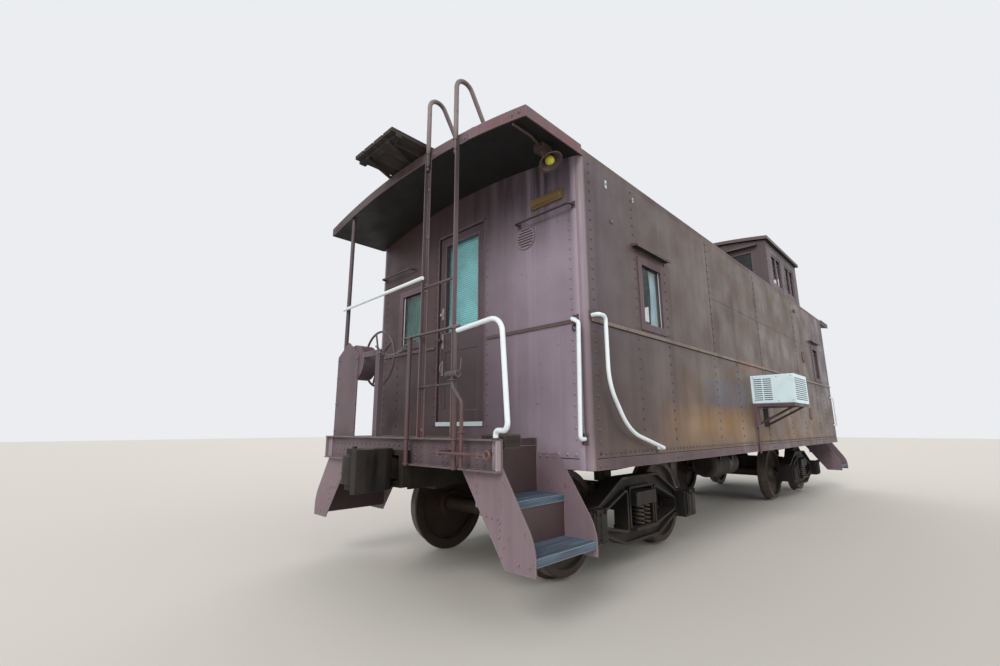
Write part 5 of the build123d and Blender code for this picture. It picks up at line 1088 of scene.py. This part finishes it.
lamp_at = Vector((WALL - 0.250, FACE + 0.171, 0))
lamp_at.z = roof_top(lamp_at.y) - 0.060 - 0.030
LAMP_WAY = Vector((0.05, -0.45, -0.90)).normalized()
BULB = ((0.014, 0.070), (0.020, 0.088), (0.033, 0.108), (0.0375, 0.128), (0.033, 0.148), (0.019, 0.161), (0.002, 0.165))
RIM = ((0.0935, 0.147), (0.0965, 0.149), (0.0965, 0.153), (0.0935, 0.154), (0.0915, 0.152))
lathe("lamp_bulb", BULB, lamp_at, LAMP_WAY, "bulb")
lathe("lamp_rim", RIM, lamp_at, LAMP_WAY, "lamp", sides=32, ring=True)
lamp_bolts = [((lamp_at.x + dx, lamp_at.y - 0.051, lamp_at.z - 0.004), RIGHT) for dx in (-0.03, 0.03)]
bolts("lamp_bolts", lamp_bolts, 0.005, 0.004, "lamp", slot="lamp_metal")

# the round vent's louvres: seven slots as long as the disc lets them, filled with a painted shade
VENT_Y, VENT_Z, VENT_R = -0.845, RAIL + 2.742, 0.088
vent_slots = []
for dz in ((i - 3) * 0.024 for i in range(7)):
    half = math.sqrt(VENT_R ** 2 - dz ** 2) - 0.002
    vent_slots.append(((WALL - 0.0060, VENT_Y - half, VENT_Z + dz - 0.0045),
                       (WALL - 0.0032, VENT_Y + half, VENT_Z + dz + 0.0045)))
slabs("vent_shadow", spread(vent_slots, turned), "slots", edge=0.0003)
disc_bolts = [(at, RIGHT) for z in (2.362, 1.395) for at in (
    (WALL + 6.550 + 0.080 * math.cos(a), FACE - 0.010, RAIL + z + 0.080 * math.sin(a))
    for a in (i * math.tau / 6 + 0.3 for i in range(6)))]
bolts("disc_bolts", disc_bolts, 0.007, 0.005, "disc", slot="body_paint")
sign_screws = [((SIGN[0][0], y, (SIGN[0][2] + SIGN[1][2]) / 2), NEAR) for y in (SIGN[0][1] + 0.02, SIGN[1][1] - 0.02)]
bolts("sign_screws", sign_screws, 0.004, 0.003, "zinc", slot="old_wood")

(UNIT_X, UNIT_Y, UNIT_LOW), (UNIT_FAR, UNIT_BACK, UNIT_TOP) = UNIT
JOINT = UNIT_Y + 0.150
# the unit's louvres are filled with dark slabs, a painted shade
slots = []
for low in (UNIT_LOW + 0.040 + i * 0.025 for i in range(11)):
    for y in (UNIT_BACK - 0.225, UNIT_BACK - 0.120):
        slots.append(((UNIT_X + 0.0062, y + 0.001, low + 0.001), (UNIT_X + 0.0079, y + 0.091, low + 0.010)))
    slots.append(((UNIT_X + 0.031, UNIT_Y + 0.0062, low + 0.001), (UNIT_FAR - 0.031, UNIT_Y + 0.0079, low + 0.010)))
slabs("unit_slots", slots, "slots", edge=0.0003)
unit_joints = [((UNIT_X + 0.010, JOINT, UNIT_TOP), (UNIT_FAR - 0.010, JOINT + 0.004, UNIT_TOP + 0.0015))]
unit_joints += [((x, JOINT, UNIT_LOW + 0.012), (x + 0.0015, JOINT + 0.004, UNIT_TOP - 0.012))
                for x in (UNIT_X - 0.0015, UNIT_FAR)]
slabs("unit_joints", unit_joints, "conditioner", edge=0.0005)
unit_screws = [((UNIT_X, UNIT_Y + y, UNIT_LOW + z), NEAR) for y in (0.03, 0.18, 0.44) for z in (0.03, 0.32)]
bolts("unit_screws", unit_screws, 0.004, 0.0025, "zinc", slot="white_paint")
# a near-black panel on the side below the unit
dark = [((WALL + 3.920, FACE - 0.002, RAIL + 1.180), (WALL + 4.140, FACE, RAIL + 1.415))]
slabs("dark_side_panel", dark, "slots")
shelf_bolts = [((WALL + d, FACE - 0.0405, RAIL + z), RIGHT) for d in (3.560, 3.615) for z in (1.21, 1.38)]
bolts("shelf_bolts", shelf_bolts, 0.008, 0.007, "trim")


# Cupola and roof

CUP_FACE = CUPOLA[0][1]
CUP_NEAR, CUP_FAR = CUPOLA[0][0], CUPOLA[1][0]
CUP_LOW, CUP_HIGH = EAVE + 0.095, CUPOLA[1][2] - 0.070
COLUMN_IN = 0.035
cup_left, cup_right = CUP_NEAR + COLUMN_IN, CUP_FAR - COLUMN_IN
cup_sides = [((x, CUP_FACE, CUP_LOW), (x, CUP_FACE, CUP_HIGH), RIGHT) for x in (cup_left, cup_right)]
cup_sides += [((cup_left, CUP_FACE, z), (cup_right, CUP_FACE, z), RIGHT) for z in (CUP_LOW, CUP_HIGH)]
near_end, far_end = ([((x, y, EAVE + 0.26), (x, y, CUP_HIGH), way) for y in (-1.315, -0.30, 0.30, 1.315)]
                     for x, way in ((CUP_NEAR - 0.0002, NEAR), (CUP_FAR + 0.0002, FAR)))
cup_rows = cup_sides + near_end + moved(cup_sides, flipped) + far_end
studs("cupola_rivets", cup_rows, 0.090, 0.009, 0.005, "cupola")
bracket = [((WALL + 6.260, FACE - 0.030, RAIL + 3.110), (WALL + 6.320, FACE, RAIL + 3.160))]
slabs("cupola_brackets", bracket, "trim")

# seams over the roof's arch, from eave to eave
SEAM_STEPS = 18
SEAM_REACH = HALF_W - 0.01
seams = [[(x, y, roof_top(y) + 0.001) for y in (SEAM_REACH * (2 * i / SEAM_STEPS - 1) for i in range(SEAM_STEPS + 1))]
         for x in (-4.40, -3.20, -2.00, -0.80, 0.30, 3.20, 4.40)]
tubes("roof_seams", seams, 0.007, "roof_top")
# bolts of the walk: where its saddles stand, clear of the cupola, and at its ends
saddles = [-3.6, -2.5, -1.4, -0.3, CUP_NEAR - 0.15, CUP_FAR + 0.15, END_X - 0.7]
saddles = sorted({round(v, 3) for v in saddles + [-v for v in saddles] if not CUP_NEAR - 0.1 < v < CUP_FAR + 0.1})
walk_bolts = [((x, y + dy, WALK_TOP), UP) for x in saddles + [SILL + 0.075, END_X - 0.075]
              for y in (i * 0.154 - 0.231 for i in range(4)) for dy in (-0.035, 0.035)]
bolts("walk_bolts", walk_bolts, 0.008, 0.004, "black", slot="old_wood")
stove_x, stove_y = ((low + high) / 2 for low, high in list(zip(*STOVE_PIPE))[:2])
stove_bands = [((stove_x, stove_y, STOVE_PIPE[0][2] + lift), UP) for lift in (0.10, 0.24, 0.34)]
rings("stove_bands", stove_bands, 0.0775, 0.004, "roof_top")


# Under the floor

sill_line = [((-4.40, side * 0.1652, RAIL + z), (4.40, side * 0.1652, RAIL + z), (0.0, side, 0.0))
             for side in (-1.0, 1.0) for z in (0.760, 1.020)]
studs("centre_sill_rivets", sill_line, 0.120, 0.012, 0.008, "under", "cast_black")
train_line = [(
    (-4.86, -0.46, 0.985), (-4.30, -0.46, 0.985), (-4.10, -0.42, 1.000), (-1.00, -0.42, 1.000), (-0.70, -0.36, 1.000),
    (0.70, -0.36, 1.000), (1.00, -0.42, 1.000), (4.05, -0.42, 1.000), (4.20, -0.30, 0.985), (4.30, 0.30, 0.985),
    (4.45, 0.46, 0.985), (4.86, 0.46, 0.985),
)]
tubes("train_line", train_line, 0.018, "black")
branches = [
    ((0.20, -0.36, 1.000), (0.20, -0.20, 0.990), (0.215, 0.10, 0.980), (0.22, 0.42, 0.930), (0.26, 0.50, 0.860),
     (0.30, 0.52, 0.790)),
    ((-0.40, -0.36, 1.000), (-0.40, -0.50, 0.960), (-0.40, -0.66, 0.900), (-0.40, -0.74, 0.868)),
]
tubes("brake_pipes", branches, 0.011, "black")
hangers = [((x - 0.012, -0.445, 1.015), (x + 0.012, -0.395, 1.090)) for x in (-3.9, -1.9, 1.9, 3.9)]
slabs("pipe_hangers", hangers, "under")


# Trucks

SEAT_LOW, SEAT_HIGH = RAIL + 0.318, RAIL + 0.500
SEAT_GAP = 0.012
COIL_H = SEAT_HIGH - SEAT_LOW - 2 * SEAT_GAP
for end, sign in (("near", -1), ("far", 1)):
    body = "truck_" + end
    stands = [(sign * TRUCK_X + dx, side * JOURNAL_Y + dy, SEAT_LOW + SEAT_GAP)
              for side in (-1, 1) for dx in (-0.056, 0.056) for dy in (-0.056, 0.056)]
    coils = grown("spring_coils_" + end, COILS, stands, [], "spring", body, "cast_black",
                  Radius=0.040, Height=COIL_H, Wire=0.0118, Turns=4.5)
    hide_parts(f"truck_{end}_springs")
    grown(f"inner_coils_{end}.001", COILS, stands, [], "spring", body, "cast_black",
          Radius=0.020, Height=COIL_H, Wire=0.007, Turns=7.0)
    seats = [((x, y, at), UP) for x, y, z in stands for at in (SEAT_LOW + 0.003, SEAT_HIGH - 0.003)]
    rings("spring_seats_" + end, seats, 0.040, 0.0035, "casting", body)
    # journal boxes: the lid's raised panel and rib, the hinge's ears, the bolts round the box
    lids, lid_bolts = [], []
    for x in (sign * TRUCK_X - AXLE_OUT, sign * TRUCK_X + AXLE_OUT):
        for side in (-1, 1):
            y = side * LID_Y
            lids += [((x - 0.068, y, AXLE_Z - 0.078), (x + 0.068, y + side * 0.007, AXLE_Z + 0.082)),
                     ((x - 0.011, y, AXLE_Z - 0.098), (x + 0.011, y + side * 0.015, AXLE_Z + 0.108))]
            lids += [((ear - 0.008, y - side * 0.024, AXLE_Z + 0.094), (ear + 0.008, y + side * 0.018, AXLE_Z + 0.142))
                     for ear in (x - 0.060, x + 0.060)]
            lid_bolts += [((x + dx, y - side * 0.022, AXLE_Z + dz), (0.0, side, 0.0))
                          for dx in (-0.104, 0.104) for dz in (-0.106, 0.104)]
    slabs("journal_lids_" + end, lids, "casting", body, edge=0.004)
    bolts("journal_bolts_" + end, lid_bolts, 0.011, 0.010, "casting", body, "cast_black")
